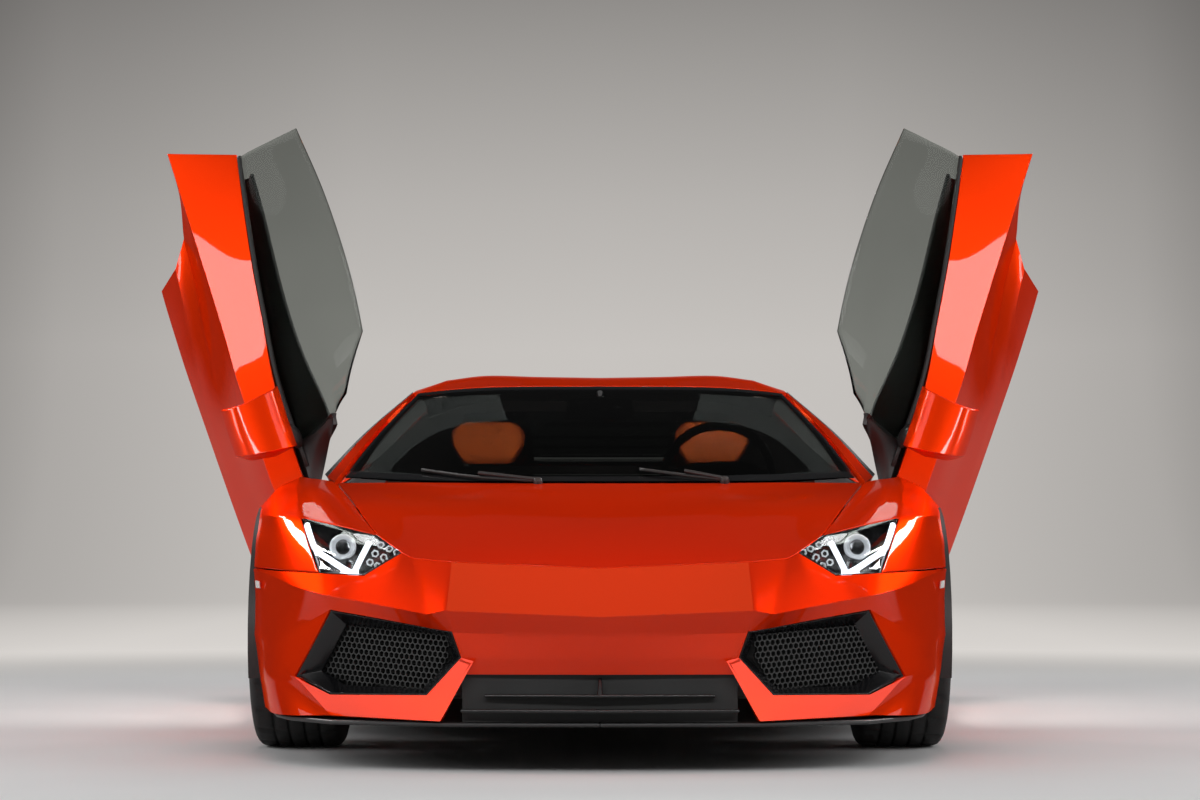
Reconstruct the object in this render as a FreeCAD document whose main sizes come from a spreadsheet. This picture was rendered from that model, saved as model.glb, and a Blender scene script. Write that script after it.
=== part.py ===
# Mid-engined supercar: a wedge-shaped body of folded panels on a tub, two doors that
# swing up about hinges in the front fenders, four wheels, steering, lids and a rear wing.
#
# Frame: millimetres, +Z up, the nose faces -Y, +X is the driver's (left) side.
# Origin: on the ground, at mid-length, on the car's centre plane.
# The doors are stored raised; every door point below is written with the door shut,
# and the door's Placement turns it about its hinge axis.
import FreeCAD, Part
import math
import os

Vec = FreeCAD.Vector
doc = FreeCAD.newDocument("supercar")

# ---------------------------------------------------------------- driving dimensions
# alias, value (mm or degrees), what it is
DIMENSIONS = [
    ("FrontAxleY", -1260, "front wheel centres"),
    ("RearAxleY", 1440, "rear wheel centres"),
    ("FrontTrack", 1704, "between tyre mid-planes"),
    ("RearTrack", 1700, "between tyre mid-planes"),
    ("FrontTyreRadius", 330.5, "255/35 R19"),
    ("FrontTyreWidth", 255, "255/35 R19"),
    ("FrontRimRadius", 241.3, "19 inch bead seat"),
    ("RearTyreRadius", 354.5, "335/30 R20"),
    ("RearTyreWidth", 335, "335/30 R20"),
    ("RearRimRadius", 254.0, "20 inch bead seat"),
    ("FrontArchRadius", 352, "front wheel arch"),
    ("RearArchRadius", 402, "rear wheel arch"),
    ("SkinThick", 18, "outer panels with their stiffeners"),
    ("GlassThick", 6, "windscreen and windows"),
    ("ShutGap", 6, "between neighbouring panels"),
    ("DoorThick", 62, "door shell"),
    ("DoorOpenAngle", 85.7, "how far a door turns up"),
    ("DoorHingeX", 900, "hinge centre"),
    ("DoorHingeY", -630, "hinge centre"),
    ("DoorHingeZ", 545, "hinge centre"),
    ("FloorZ", 112, "ground clearance"),
    ("SeatX", 376, "seat mid-plane"),
    ("SteeringWheelRadius", 175, "outer radius of the rim"),
]

sheet = doc.addObject("Spreadsheet::Sheet", "Dimensions")
for row, (alias, value, meaning) in enumerate(DIMENSIONS, start=1):
    sheet.set("A%d" % row, alias)
    sheet.set("B%d" % row, str(value))
    sheet.set("C%d" % row, meaning)
    sheet.setAlias("B%d" % row, alias)
doc.recompute()


def dim(alias):
    return float(sheet.get(alias))


SKIN = dim("SkinThick")
GLASS = dim("GlassThick")
GAP = dim("ShutGap") / 2
FRONT_Y = dim("FrontAxleY")
REAR_Y = dim("RearAxleY")

subparts = []


def keep(obj, label):
    """Names one finished sub-part, which becomes one file."""
    obj.Label = label
    subparts.append(obj)
    return obj


def feature(shape, label):
    """A sub-part whose shape is worked out by Part's own functions."""
    obj = doc.addObject("Part::Feature", label)
    obj.Shape = shape
    return keep(obj, label)


# ---------------------------------------------------------------- lines and panels
STEPS = 2  # how many straight pieces stand for a curve between two of its points


def mirrored(rows):
    return [[(-x, y, z) for x, y, z in row] for row in rows]


def sided(rows, side):
    return rows if side > 0 else mirrored(rows)


def both_sides(patches):
    """Half patches on +X and their mirror images, which meet on the centre plane."""
    return patches + [mirrored(rows) for rows in patches]


def towards(point, middle, share, back=0):
    """point moved towards middle by share of its distance, and rearwards by back."""
    x, y, z = (a + (b - a) * share for a, b in zip(point, middle))
    return (x, y + back, z)


def middle_of(points):
    return tuple(sum(values) / len(points) for values in zip(*points))


def curve_point(points, index, share):
    """Point of the Catmull-Rom curve through points, share of the way after index."""
    last = len(points) - 1
    p1, p2 = points[index], points[index + 1]
    p0 = points[index - 1] if index > 0 else tuple(2 * a - b for a, b in zip(p1, p2))
    p3 = points[index + 2] if index + 2 <= last else tuple(2 * b - a for a, b in zip(p1, p2))
    s, s2, s3 = share, share ** 2, share ** 3
    return tuple(
        0.5 * (2 * b + (c - a) * s + (2 * a - 5 * b + 4 * c - d) * s2
               + (3 * b - a - 3 * c + d) * s3)
        for a, b, c, d in zip(p0, p1, p2, p3))


def smooth(points, breaks=()):
    """Fine line through points, with a sharp corner at each number in breaks."""
    cuts = [0] + sorted(b for b in breaks if 0 < b < len(points) - 1) + [len(points) - 1]
    fine = []
    for start, end in zip(cuts, cuts[1:]):
        piece = points[start:end + 1]
        fine += [curve_point(piece, i, k / STEPS)
                 for i in range(len(piece) - 1) for k in range(STEPS)]
    return fine + [points[-1]]


def line(*points, breaks=()):
    return smooth([tuple(p) for p in points], breaks)


def part(fine, first, last):
    """The stretch of a fine line between two of the points that it was made through."""
    return fine[first * STEPS:last * STEPS + 1]


def patch(rows, breaks=(), edge_breaks=()):
    """Fine grid through fine rows; breaks are sharp rows, edge_breaks only at the last column."""
    columns = [list(column) for column in zip(*rows)]
    fine = [smooth(column, breaks) for column in columns[:-1]]
    fine.append(smooth(columns[-1], set(breaks) | set(edge_breaks)))
    return [list(row) for row in zip(*fine)]


def inner_point(point):
    """A point inside the car level with point, from which a panel's outside faces away."""
    x, y, z = point
    return Vec(0, max(-1700, min(1900, y)), 480)


def ahead(point):
    """A point behind the given one, from which a forward-facing panel faces away."""
    return Vec(*point) + Vec(0, 1000, 0)


def behind(point):
    """A point ahead of the given one, from which a rearward-facing panel faces away."""
    return Vec(*point) - Vec(0, 1000, 0)


def weld(patches, inside=inner_point):
    """Joins patches into one list of points and of faces that all face outwards."""
    index, points, faces = {}, [], []
    for grid in patches:
        ids = []
        for row in grid:
            numbers = []
            for point in row:
                key = tuple(round(value, 1) for value in point)
                if key not in index:
                    index[key] = len(points)
                    points.append(Vec(*point))
                numbers.append(index[key])
            ids.append(numbers)
        for i in range(len(ids) - 1):
            for j in range(len(ids[0]) - 1):
                quad = [ids[i][j], ids[i][j + 1], ids[i + 1][j + 1], ids[i + 1][j]]
                ring = [v for k, v in enumerate(quad) if v != quad[k - 1]]
                if len(ring) < 3:
                    continue
                if len(ring) == 4 and (points[ring[0]] - points[ring[2]]).Length > (
                        points[ring[1]] - points[ring[3]]).Length:
                    ring = ring[1:] + ring[:1]
                faces += [(ring[0], ring[k], ring[k + 1]) for k in range(1, len(ring) - 1)]
    return points, facing_out(points, faces, inside)


def facing_out(points, faces, inside):
    """The faces turned so that neighbours agree and the sheet faces away from inside."""
    beside = {}
    for number, face in enumerate(faces):
        for k in range(3):
            beside.setdefault(frozenset((face[k], face[(k + 1) % 3])), []).append(number)
    crowded = [edge for edge, around in beside.items() if len(around) > 2]
    if crowded:
        raise ValueError("three faces meet at %s" % [tuple(points[v]) for v in crowded[0]])
    turned = {0: faces[0]}
    waiting = [0]
    while waiting:
        number = waiting.pop()
        face = turned[number]
        for k in range(3):
            a, b = face[k], face[(k + 1) % 3]
            for other in beside[frozenset((a, b))]:
                if other in turned:
                    continue
                ring = faces[other]
                forward = (ring.index(b) - ring.index(a)) % 3 == 1
                turned[other] = ring[::-1] if forward else ring
                waiting.append(other)
    if len(turned) < len(faces):
        raise ValueError("a panel is in pieces near %s" % points[faces[len(turned)][0]])
    outward = 0
    for a, b, c in turned.values():
        normal = (points[b] - points[a]).cross(points[c] - points[a])
        middle = (points[a] + points[b] + points[c]) / 3
        outward += normal.dot((middle - inside(tuple(middle))).normalize())
    return [face if outward > 0 else face[::-1] for _, face in sorted(turned.items())]


def thick_sheet(points, faces, thick, gap):
    """Closed solid of the sheet: its rim drawn in by gap, its inside offset by thick.

    thick is a number, or a function of a point where the thickness varies."""
    def face_normal(face):
        a, b, c = (points[v] for v in face)
        return (b - a).cross(c - a)

    edges = {}
    for face in faces:
        for k in range(3):
            edges[(face[k], face[(k + 1) % 3])] = face
    rim = [edge for edge in edges if (edge[1], edge[0]) not in edges]
    pull = {}
    for a, b in rim:
        inward = face_normal(edges[(a, b)]).cross(points[b] - points[a]).normalize()
        pull.setdefault(a, []).append(inward)
        pull.setdefault(b, []).append(inward)
    normals = [Vec() for _ in points]
    for face in faces:
        normal = face_normal(face)
        for k in range(3):
            here, after, before = (points[face[(k + n) % 3]] for n in (0, 1, 2))
            corner = (after - here).getAngle(before - here)
            normals[face[k]] += Vec(normal).normalize() * corner
    outer = []
    for number, point in enumerate(points):
        normals[number].normalize()
        if number in pull and gap:
            way = sum(pull[number], Vec())
            way.normalize()
            reach = max(0.5, way.dot(pull[number][0]))
            point = point + way * (gap / reach)
        outer.append(point)
    depth = thick if callable(thick) else (lambda point: thick)
    inner = [point - normal * depth(point) for point, normal in zip(outer, normals)]
    count = len(points)
    triangles = list(faces) + [(c + count, b + count, a + count) for a, b, c in faces]
    for a, b in rim:
        triangles += [(b, a, a + count), (b, a + count, b + count)]
    return outer + inner, triangles


def closed_solid(points, triangles):
    shell = Part.Shape()
    shell.makeShapeFromMesh(([tuple(p) for p in points], triangles), 0.01)
    solid = Part.Solid(shell.Shells[0])
    if solid.Volume < 0:
        solid.reverse()
    return solid


def solid_of_rings(rings):
    """Closed solid through rings of equally many points, with flat ends."""
    points = [Vec(*point) for ring in rings for point in ring]
    size, last = len(rings[0]), len(points) - len(rings[0])
    triangles = [(0, k + 1, k) for k in range(1, size - 1)]
    triangles += [(last, last + k, last + k + 1) for k in range(1, size - 1)]
    for start in range(0, last, size):
        for k in range(size):
            a, b = start + k, start + (k + 1) % size
            triangles += [(a, b, b + size), (a, b + size, a + size)]
    return closed_solid(points, triangles)


def panel(patches, thick=SKIN, gap=GAP, inside=inner_point):
    points, faces = weld(patches, inside)
    return closed_solid(*thick_sheet(points, faces, thick, gap))


def bars(points, radius):
    """Round bars from each point to the next, as solids that overlap at the corners."""
    corners = [Vec(*point) for point in points]
    return [Part.makeCylinder(radius, (end - start).Length, start, end - start)
            for start, end in zip(corners, corners[1:])]


def prism(outline, shift):
    """A flat outline drawn out along shift."""
    points = [Vec(*point) for point in outline]
    return Part.Face(Part.makePolygon(points + points[:1])).extrude(Vec(*shift))


def within(u, v, outline):
    """Whether a point lies inside a flat outline."""
    inside = False
    for (u0, v0), (u1, v1) in zip(outline, outline[1:] + outline[:1]):
        if (v0 > v) != (v1 > v) and u < (u1 - u0) * (v - v0) / (v1 - v0) + u0:
            inside = not inside
    return inside


def flattened(outline):
    """The outline moved along Y into the upright plane that hexagon_grille fills."""
    x0, y0, _ = middle_of(outline)
    slope = (outline[0][1] - outline[1][1]) / (outline[0][0] - outline[1][0])
    return [(x, y0 + slope * (x - x0), z) for x, _, z in outline]


def hexagon_grille(outline, pitch, bar, depth):
    """Upright plate that fills outline, with hexagonal holes and bars between them."""
    centre = Vec(*middle_of(outline))
    along = Vec(outline[0][0] - outline[1][0], outline[0][1] - outline[1][1], 0).normalize()
    up = Vec(0, 0, 1)
    normal = along.cross(up)
    flat = [((Vec(*p) - centre).dot(along), (Vec(*p) - centre).dot(up)) for p in outline]
    hole = (pitch - bar) / math.sqrt(3)
    reach = int(max(math.hypot(u, v) for u, v in flat) / pitch) + 2
    rings = [flat]
    for i in range(-reach, reach + 1):
        for j in range(-2 * reach, 2 * reach + 1):
            u, v = pitch * (i + 0.5 * (j % 2)), pitch * j * math.sqrt(3) / 2
            turns = [math.radians(60 * k) for k in range(6)]
            if all(within(u + 1.3 * hole * math.sin(a), v + 1.3 * hole * math.cos(a), flat)
                   for a in turns):
                rings.append([(u + hole * math.sin(a), v + hole * math.cos(a)) for a in turns])
    wires = []
    for ring in rings:
        points = [centre + along * u + up * v for u, v in ring]
        wires.append(Part.makePolygon(points + points[:1]))
    return Part.Face(wires).extrude(normal * depth)


# ---------------------------------------------------------------- body lines
# Every point is (x, y, z) on the left half, with the doors shut. Neighbouring panels
# share these lines, and each panel draws back from them by half the shut gap.

# The crease round the nose, where the upper facets turn under, from the centre plane
# to the front wheel arch.
NOSE_CREASE = line((0, -2390, 392), (340, -2356, 405), (391, -2350, 408), (440, -2330, 398),
                   (566, -2220, 419), (649, -2150, 433), (733, -2080, 447), (836, -1880, 471),
                   (962, -1568, 511), breaks=(2, 3))
# The corners of a headlamp, from its outer top corner inwards and round.
LAMP_A, LAMP_B, LAMP_C = (820, -1660, 650), (602, -1780, 601), (526, -1960, 554)
LAMP_D, LAMP_E = (621, -2030, 494), (745, -1960, 500)
# The shut line above it: bonnet front, lamp tip and foot, then the fender's front edge.
NOSE_TOP = line((0, -2095, 513), (340, -2065, 527), (391, -2060, 530), (494, -1994, 538), LAMP_C,
                LAMP_D, LAMP_E, (860, -1790, 505), (962, -1568, 511), breaks=(2, 3, 4, 5, 6))


def arch_point(axle_y, axle_z, radius, degrees, x):
    """A point of a wheel arch; 0 degrees is level with the axle on its front side."""
    angle = math.radians(degrees)
    return (x, axle_y - radius * math.cos(angle), axle_z + radius * math.sin(angle))


def front_arch(degrees, x):
    return arch_point(FRONT_Y, 330, dim("FrontArchRadius"), degrees, x)


def rear_arch(degrees, x):
    return arch_point(REAR_Y, 354, dim("RearArchRadius"), degrees, x)


# ---------------------------------------------------------------- bonnet
# Stations from the nose to the windscreen: centre, ridge, valley, outer edge.
BONNET = patch([
    line((0, -2095, 513), (391, -2060, 530), (494, -1994, 538), (526, -1960, 554), breaks=(1, 2)),
    line((0, -1930, 563), (374, -1910, 573), (498, -1870, 573), (602, -1780, 601), breaks=(1, 2)),
    line((0, -1680, 629), (348, -1660, 635), (512, -1620, 633), (661, -1500, 650), breaks=(1, 2)),
    line((0, -1400, 690), (340, -1400, 692), (520, -1400, 682), (711, -1260, 697), breaks=(1, 2)),
    line((0, -1220, 727), (328, -1200, 727), (541, -1170, 722), (765, -1000, 742), breaks=(1, 2)),
    line((0, -1065, 757), (318, -1045, 758), (560, -975, 762), (788, -885, 762), breaks=(1, 2)),
])


def bonnet_thickness(point):
    """Thin at the bonnet's front corners, which stand between the nose and the lamps."""
    return 7 if point.y < -1880 and abs(point.x) > 440 else SKIN


feature(panel(both_sides([BONNET]), thick=bonnet_thickness), "bonnet")

# ---------------------------------------------------------------- front bumper
# The corners of an intake, from its outer top corner inwards and round.
P1, P2, P3 = (704, -2095, 403), (377, -2315, 352), (354, -2310, 288)
P4, P5, P6 = (441, -2295, 194), (699, -2130, 188), (800, -2035, 230)
# The fin at the inner end of the lip below it.
FIN_TIP, FIN_FOOT, FIN_ROOT = (319, -2350, 280), (405, -2335, 126), (345, -2308, 243)
LIP_CORNER = (692, -2176, 133)
FASCIA = patch([
    part(NOSE_CREASE, 0, 2),
    line((0, -2362, 345), (335, -2322, 350), P2),
    line((0, -2345, 288), (300, -2322, 288), P3),
    line((0, -2325, 243), (325, -2312, 243), FIN_ROOT),
], breaks=(1, 2))
INTAKE_BROW = patch([
    part(NOSE_CREASE, 2, 6),
    line(P2, (430, -2280, 360), (540, -2210, 378), (625, -2150, 391), P1),
])
LIP = patch([
    line(P3, P4, P5, P6, breaks=(1, 2)),
    line(FIN_TIP, FIN_FOOT, LIP_CORNER, P6, breaks=(1, 2)),
])
FIN_TOP = patch([line(P3, P3), line(FIN_ROOT, FIN_TIP)])
FIN_FLANK = patch([line(FIN_TIP, FIN_FOOT), line(FIN_ROOT, (400, -2296, 126))])
CHEEK = patch([
    part(NOSE_CREASE, 6, 8),
    line(P1, (870, -1850, 330), front_arch(0, 955)),
    line(P6, (893, -1850, 230), front_arch(-17, 942)),
    line(LIP_CORNER, (850, -1960, 124), front_arch(-36, 930)),
], breaks=(1, 2))


def nose_thickness(point):
    """Thin where two faces meet back to back, in the lip, and beside the bonnet's corner."""
    in_lip = point.z < 290 and 300 < abs(point.x) < 800
    at_corner = point.z > 500 and point.y > -2000 and abs(point.x) < 580
    return 6 if in_lip or at_corner else SKIN


NOSE = [patch([NOSE_TOP, NOSE_CREASE]), FASCIA, INTAKE_BROW, LIP, FIN_TOP, FIN_FLANK, CHEEK]
feature(panel(both_sides(NOSE), thick=nose_thickness), "front_bumper")

# ---------------------------------------------------------------- front splitter
FLOOR_Z = dim("FloorZ")
SPLITTER = [(0, -2338), (395, -2325), (690, -2205), (815, -2020), (868, -1850), (900, -1640)]
BLADE_THICK = 12
# height, front edge at the centre, half width and thickness of each shelf of the slot
SHELVES = [(188, -2352, 290, 7), (148, -2364, 330, 8)]
SHELF_BACK = -2285
outline = SPLITTER + [(-x, y) for x, y in reversed(SPLITTER) if x]
splitter = [prism([(x, y, FLOOR_Z) for x, y in outline], (0, 0, BLADE_THICK)),
            Part.makeBox(680, 15, 122, Vec(-340, -2296, FLOOR_Z + 10))]
for z, front, half, thick in SHELVES:
    corners = [(-half, front + 26), (0, front), (half, front + 26), (half, SHELF_BACK),
               (-half, SHELF_BACK)]
    splitter.append(prism([(x, y, z) for x, y in corners], (0, 0, thick)))
feature(splitter[0].fuse(splitter[1:]), "front_splitter")

# ---------------------------------------------------------------- intake grilles
INTAKE = [P1, P2, P3, P4, P5, P6]
GRILLE_PITCH, GRILLE_BAR, GRILLE_DEPTH = 38, 6, 12
# How far each corner of the mesh lies from the intake's edge towards its middle.
GRILLE_SHARES = (0.24, 0.12, 0.12, 0.13, 0.2, 0.24)
intake_middle = middle_of(INTAKE)
grille_outline = flattened([towards(p, intake_middle, share, 52)
                            for p, share in zip(INTAKE, GRILLE_SHARES)])
frame_front = [towards(p, intake_middle, 0.05, 6) for p in INTAKE]
frame_rear = [towards(p, middle_of(grille_outline), 0.03, 4) for p in grille_outline]
frame_lines = [frame_front + frame_front[:1], frame_rear + frame_rear[:1]]
grilles = []
for side in (1, -1):
    mesh = hexagon_grille(sided([grille_outline], side)[0], GRILLE_PITCH, GRILLE_BAR,
                          -side * GRILLE_DEPTH)
    frame = panel([sided(frame_lines, side)], thick=5, gap=0, inside=ahead)
    grilles.append(mesh.fuse(frame))
feature(Part.makeCompound(grilles), "front_grilles")

# ---------------------------------------------------------------- headlamps
LAMP = [LAMP_A, LAMP_B, LAMP_C, LAMP_D, LAMP_E]
lamp_middle = middle_of(LAMP)
LAMP_RINGS = [(0.12, 6), (0.44, 56), (1.0, 80)]  # share of the way inwards, and how far back


def in_lamp(x, z, back):
    """A point of the lamp's face level with z, set back into its housing."""
    return (x, 0.4215 * x + 1.834 * z - 3197.7 + back, z)


GUIDE_LONG = [in_lamp(782, 614, 22), in_lamp(764, 559, 24), in_lamp(655, 500, 26)]
GUIDE_SHORT = [in_lamp(655, 500, 26), in_lamp(621, 578, 26)]
PROJECTOR_PLACE = in_lamp(694, 568, 10)
lamps = []
for side in (1, -1):
    rings = [[towards(p, lamp_middle, share, back) for p in LAMP + LAMP[:1]]
             for share, back in LAMP_RINGS]
    bowl = panel([sided(rings, side)], thick=4, gap=0, inside=ahead)
    guides = bars(sided([GUIDE_LONG], side)[0], 7) + bars(sided([GUIDE_SHORT], side)[0], 7)
    eye = Vec(side * PROJECTOR_PLACE[0], PROJECTOR_PLACE[1] + 12, PROJECTOR_PLACE[2])
    projector = Part.makeCylinder(35, 90, eye, Vec(0, 1, 0))
    stems = [Part.makeCylinder(5, 90, Vec(*point), Vec(0, 1, 0))
             for point in sided([[GUIDE_LONG[1], GUIDE_LONG[2]]], side)[0]]
    lamps.append(bowl.fuse(guides + stems + [projector]))
feature(Part.makeCompound(lamps), "headlamps")

# ---------------------------------------------------------------- front fenders
# Corners of the fender's rear edge, down the door's shut line.
FENDER_REAR = {"top": (888, -856, 776), "shoulder": (962, -858, 725), "high": (984, -866, 620),
               "mid": (990, -876, 545), "low": (992, -857, 450), "foot": (994, -780, 350)}
FENDER_LAMP_LINE = line(LAMP_B, (711, -1720, 628), LAMP_A, (900, -1590, 655), front_arch(67, 968),
                        breaks=(2,))
FENDER_NOSE = patch([
    part(NOSE_TOP, 6, 8),
    line((785, -1810, 575), (876, -1690, 590), front_arch(48, 966)),
    part(FENDER_LAMP_LINE, 2, 4),
])
FENDER_TOP = patch([
    FENDER_LAMP_LINE,
    line((661, -1500, 650), (755, -1490, 685), (848, -1480, 705), (918, -1440, 695),
         front_arch(78, 972), breaks=(2,)),
    line((711, -1260, 697), (800, -1260, 735), (868, -1260, 748), (930, -1260, 733),
         front_arch(90, 976), breaks=(2,)),
    line((765, -1000, 742), (830, -1010, 764), (888, -1000, 777), (955, -1050, 735),
         front_arch(120, 984), breaks=(2,)),
    line((797, -856, 766), (845, -856, 774), FENDER_REAR["top"], FENDER_REAR["shoulder"],
         FENDER_REAR["high"], breaks=(2,)),
], edge_breaks=(3,))
FENDER_HEEL = patch([
    line(front_arch(120, 984), FENDER_REAR["high"]),
    line(front_arch(142, 990), FENDER_REAR["mid"]),
    line(front_arch(160, 993), FENDER_REAR["low"]),
    line(front_arch(176, 994), FENDER_REAR["foot"]),
    line(front_arch(190, 994), (998, -735, 290)),
    line(front_arch(207, 990), (1000, -712, 190)),
])


def fender_thickness(point):
    """The skin thins at the shut line, which the turning door passes under."""
    return 5 if point.y > -880 else 16


for side, name in ((1, "left"), (-1, "right")):
    patches = [sided(rows, side) for rows in (FENDER_NOSE, FENDER_TOP, FENDER_HEEL)]
    feature(panel(patches, thick=fender_thickness), "front_fender_" + name)

# ---------------------------------------------------------------- windscreen and roof
WINDSCREEN = patch([
    line((0, -1050, 762), (318, -1028, 763), (560, -950, 768), (774, -796, 782)),
    line((0, -655, 935), (290, -640, 935), (500, -590, 932), (690, -510, 922)),
    line((0, -262, 1083), (250, -258, 1082), (430, -250, 1076), (583, -235, 1062)),
])
feature(panel(both_sides([WINDSCREEN]), thick=GLASS), "windscreen")

# Roof stations from the header back: centre, two bubble lines, shoulder, rail.
ROOF = patch([
    line((0, -256, 1087), (200, -254, 1087), (374, -248, 1084), (500, -240, 1076),
         (603, -226, 1066), breaks=(3,)),
    line((0, -100, 1117), (200, -100, 1120), (374, -100, 1122), (500, -100, 1110),
         (602, -100, 1078), breaks=(3,)),
    line((0, 60, 1129), (200, 60, 1132), (374, 60, 1136), (500, 60, 1119), (600, 60, 1084),
         breaks=(3,)),
    line((0, 280, 1127), (200, 280, 1129), (374, 280, 1131), (500, 280, 1114), (599, 280, 1080),
         breaks=(3,)),
    line((0, 450, 1116), (200, 450, 1117), (374, 450, 1117), (500, 450, 1098), (600, 450, 1062),
         breaks=(3,)),
    line((0, 565, 1103), (200, 565, 1103), (374, 565, 1102), (500, 565, 1082), (604, 565, 1042),
         breaks=(3,)),
])
# Windscreen pillar: edge beside the glass, crease, edge beside the door's window.
# Its last row runs on within the roof.
PILLAR = patch([
    line((797, -862, 766), (826, -800, 780), (838, -735, 790), breaks=(1,)),
    line((706, -520, 920), (724, -500, 930), (736, -478, 926), breaks=(1,)),
    line((594, -244, 1058), (598, -240, 1058), (600, -234, 1057), breaks=(1,)),
    line((575, -185, 1064), (583, -183, 1062), (590, -180, 1060), breaks=(1,)),
])
pillars = [panel([sided(PILLAR, side)], thick=14, gap=1) for side in (1, -1)]
feature(panel(both_sides([ROOF]), thick=26).fuse(pillars), "roof_frame")

# ---------------------------------------------------------------- rear quarters
SHOULDER = [(953, 670, 757), (975, 900, 770), (1000, 1200, 775), (1012, 1440, 764),
            (1000, 1800, 770), (955, 2080, 775)]
QUARTER_TOP = patch([
    line((604, 575, 1042), (700, 590, 945), (778, 600, 868), (900, 640, 800), SHOULDER[0],
         breaks=(1, 2)),
    line((560, 900, 1010), (650, 900, 935), (760, 900, 878), (910, 900, 820), SHOULDER[1],
         breaks=(1, 2)),
    line((530, 1200, 955), (630, 1200, 925), (780, 1200, 893), (925, 1200, 848), SHOULDER[2],
         breaks=(1, 2)),
    line((520, 1440, 925), (640, 1440, 912), (800, 1440, 896), (935, 1440, 852), SHOULDER[3],
         breaks=(1, 2)),
    line((520, 1800, 905), (640, 1800, 902), (790, 1800, 890), (915, 1800, 850), SHOULDER[4],
         breaks=(1, 2)),
    line((530, 2290, 893), (640, 2280, 890), (770, 2240, 878), (880, 2170, 840), SHOULDER[5],
         breaks=(1, 2)),
], edge_breaks=(1, 2, 3, 4))
QUARTER_FRONT = patch([
    line(rear_arch(88, 1014), SHOULDER[3]),
    line(rear_arch(60, 1014), SHOULDER[2]),
    line(rear_arch(35, 1012), SHOULDER[1]),
    line(rear_arch(12, 1010), (985, 800, 600)),
    line(rear_arch(-12, 1006), (1000, 740, 330)),
    line(rear_arch(-26, 1002), (1003, 740, 190)),
], edge_breaks=(1, 2, 3))
QUARTER_BROW = patch([line(SHOULDER[0], (948, 650, 700)), line(SHOULDER[1], (985, 800, 600))])
QUARTER_REAR = patch([
    line(rear_arch(92, 1014), SHOULDER[3]),
    line(rear_arch(125, 1012), SHOULDER[4]),
    line(rear_arch(150, 1006), SHOULDER[5]),
    line(rear_arch(170, 1002), (962, 2180, 560)),
    line(rear_arch(185, 998), (960, 2190, 400)),
    line(rear_arch(200, 990), (950, 2170, 250)),
], edge_breaks=(1, 2))
QUARTER = (QUARTER_TOP, QUARTER_FRONT, QUARTER_BROW, QUARTER_REAR)
# Air duct behind the door: its mouth follows the quarter's front edge.
DUCT_MOUTH = [(940, 648, 700), (974, 796, 598), (984, 742, 336), (980, 652, 330),
              (934, 630, 334), (926, 626, 560)]
DUCT_THROAT = [(840, 900, 640), (850, 960, 560), (860, 940, 400), (850, 860, 370),
               (800, 820, 380), (800, 830, 560)]
DUCT_FIN = [(928, 634, 655), (988, 812, 572), (990, 806, 548), (924, 630, 622)]
for side, name in ((1, "left"), (-1, "right")):
    shell = panel([sided(rows, side) for rows in QUARTER])
    middle = [middle_of(DUCT_THROAT)] * (len(DUCT_THROAT) + 1)
    rings = [DUCT_MOUTH + DUCT_MOUTH[:1], DUCT_THROAT + DUCT_THROAT[:1], middle]
    duct = panel([sided(rings, side)], thick=5, gap=0, inside=behind)
    inner_edge = [(x - 16, y, z - 4) for x, y, z in DUCT_FIN]
    fin = solid_of_rings(sided([DUCT_FIN, inner_edge], side))
    feature(shell.fuse([duct, fin]), "rear_quarter_" + name)

# ---------------------------------------------------------------- engine cover and tail
ENGINE_COVER = patch([
    line((0, 575, 1100), (250, 575, 1099), (430, 575, 1088), (588, 578, 1045)),
    line((0, 900, 1035), (250, 900, 1035), (430, 900, 1028), (556, 900, 1008)),
    line((0, 1200, 975), (250, 1200, 975), (430, 1200, 968), (526, 1200, 953)),
    line((0, 1440, 940), (250, 1440, 940), (430, 1440, 933), (516, 1440, 923)),
    line((0, 1800, 905), (250, 1800, 905), (430, 1800, 903), (516, 1800, 903)),
    line((0, 2050, 890), (250, 2050, 890), (430, 2050, 890), (523, 2050, 896)),
])
# The opening over the engine, and the slats that cross it, each lower at its front.
VENT_HALF, VENT_FRONT, VENT_REAR = 285, 700, 1880
SLAT_COUNT, SLAT_STEP, SLAT_LENGTH, SLAT_THICK = 6, 200, 182, 9
# How high the cover stands on the centre plane: y, z.
COVER_SPINE = [(575, 1100), (900, 1035), (1200, 975), (1440, 940), (1800, 905), (2050, 890)]


def cover_height(y):
    """Height of the engine cover on the centre plane."""
    for (y0, z0), (y1, z1) in zip(COVER_SPINE, COVER_SPINE[1:]):
        if y <= y1:
            return z0 + (z1 - z0) * (y - y0) / (y1 - y0)
    return COVER_SPINE[-1][1]


slats = []
for number in range(SLAT_COUNT):
    start = 690 + SLAT_STEP * number
    low, high = cover_height(start) - 30, cover_height(start + SLAT_LENGTH) - 4
    half = 300 - 2 * number
    corners = [(-half, 60), (70 - half, 0), (half - 70, 0), (half, 60), (half, 130),
               (half - 60, SLAT_LENGTH), (60 - half, SLAT_LENGTH), (-half, 130)]
    slats.append(prism([(x, start + y, low + (high - low) * y / SLAT_LENGTH) for x, y in corners],
                       (0, 0, SLAT_THICK)))
vent = Part.makeBox(2 * VENT_HALF, VENT_REAR - VENT_FRONT, 400, Vec(-VENT_HALF, VENT_FRONT, 750))
feature(panel(both_sides([ENGINE_COVER])).cut(vent).fuse(slats), "engine_cover")

WING = patch([
    line((0, 2062, 890), (300, 2062, 890), (522, 2062, 894)),
    line((0, 2200, 896), (300, 2200, 896), (525, 2190, 897)),
    line((0, 2330, 900), (300, 2326, 900), (528, 2288, 894)),
])
feature(panel(both_sides([WING]), thick=16), "rear_wing")

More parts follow.
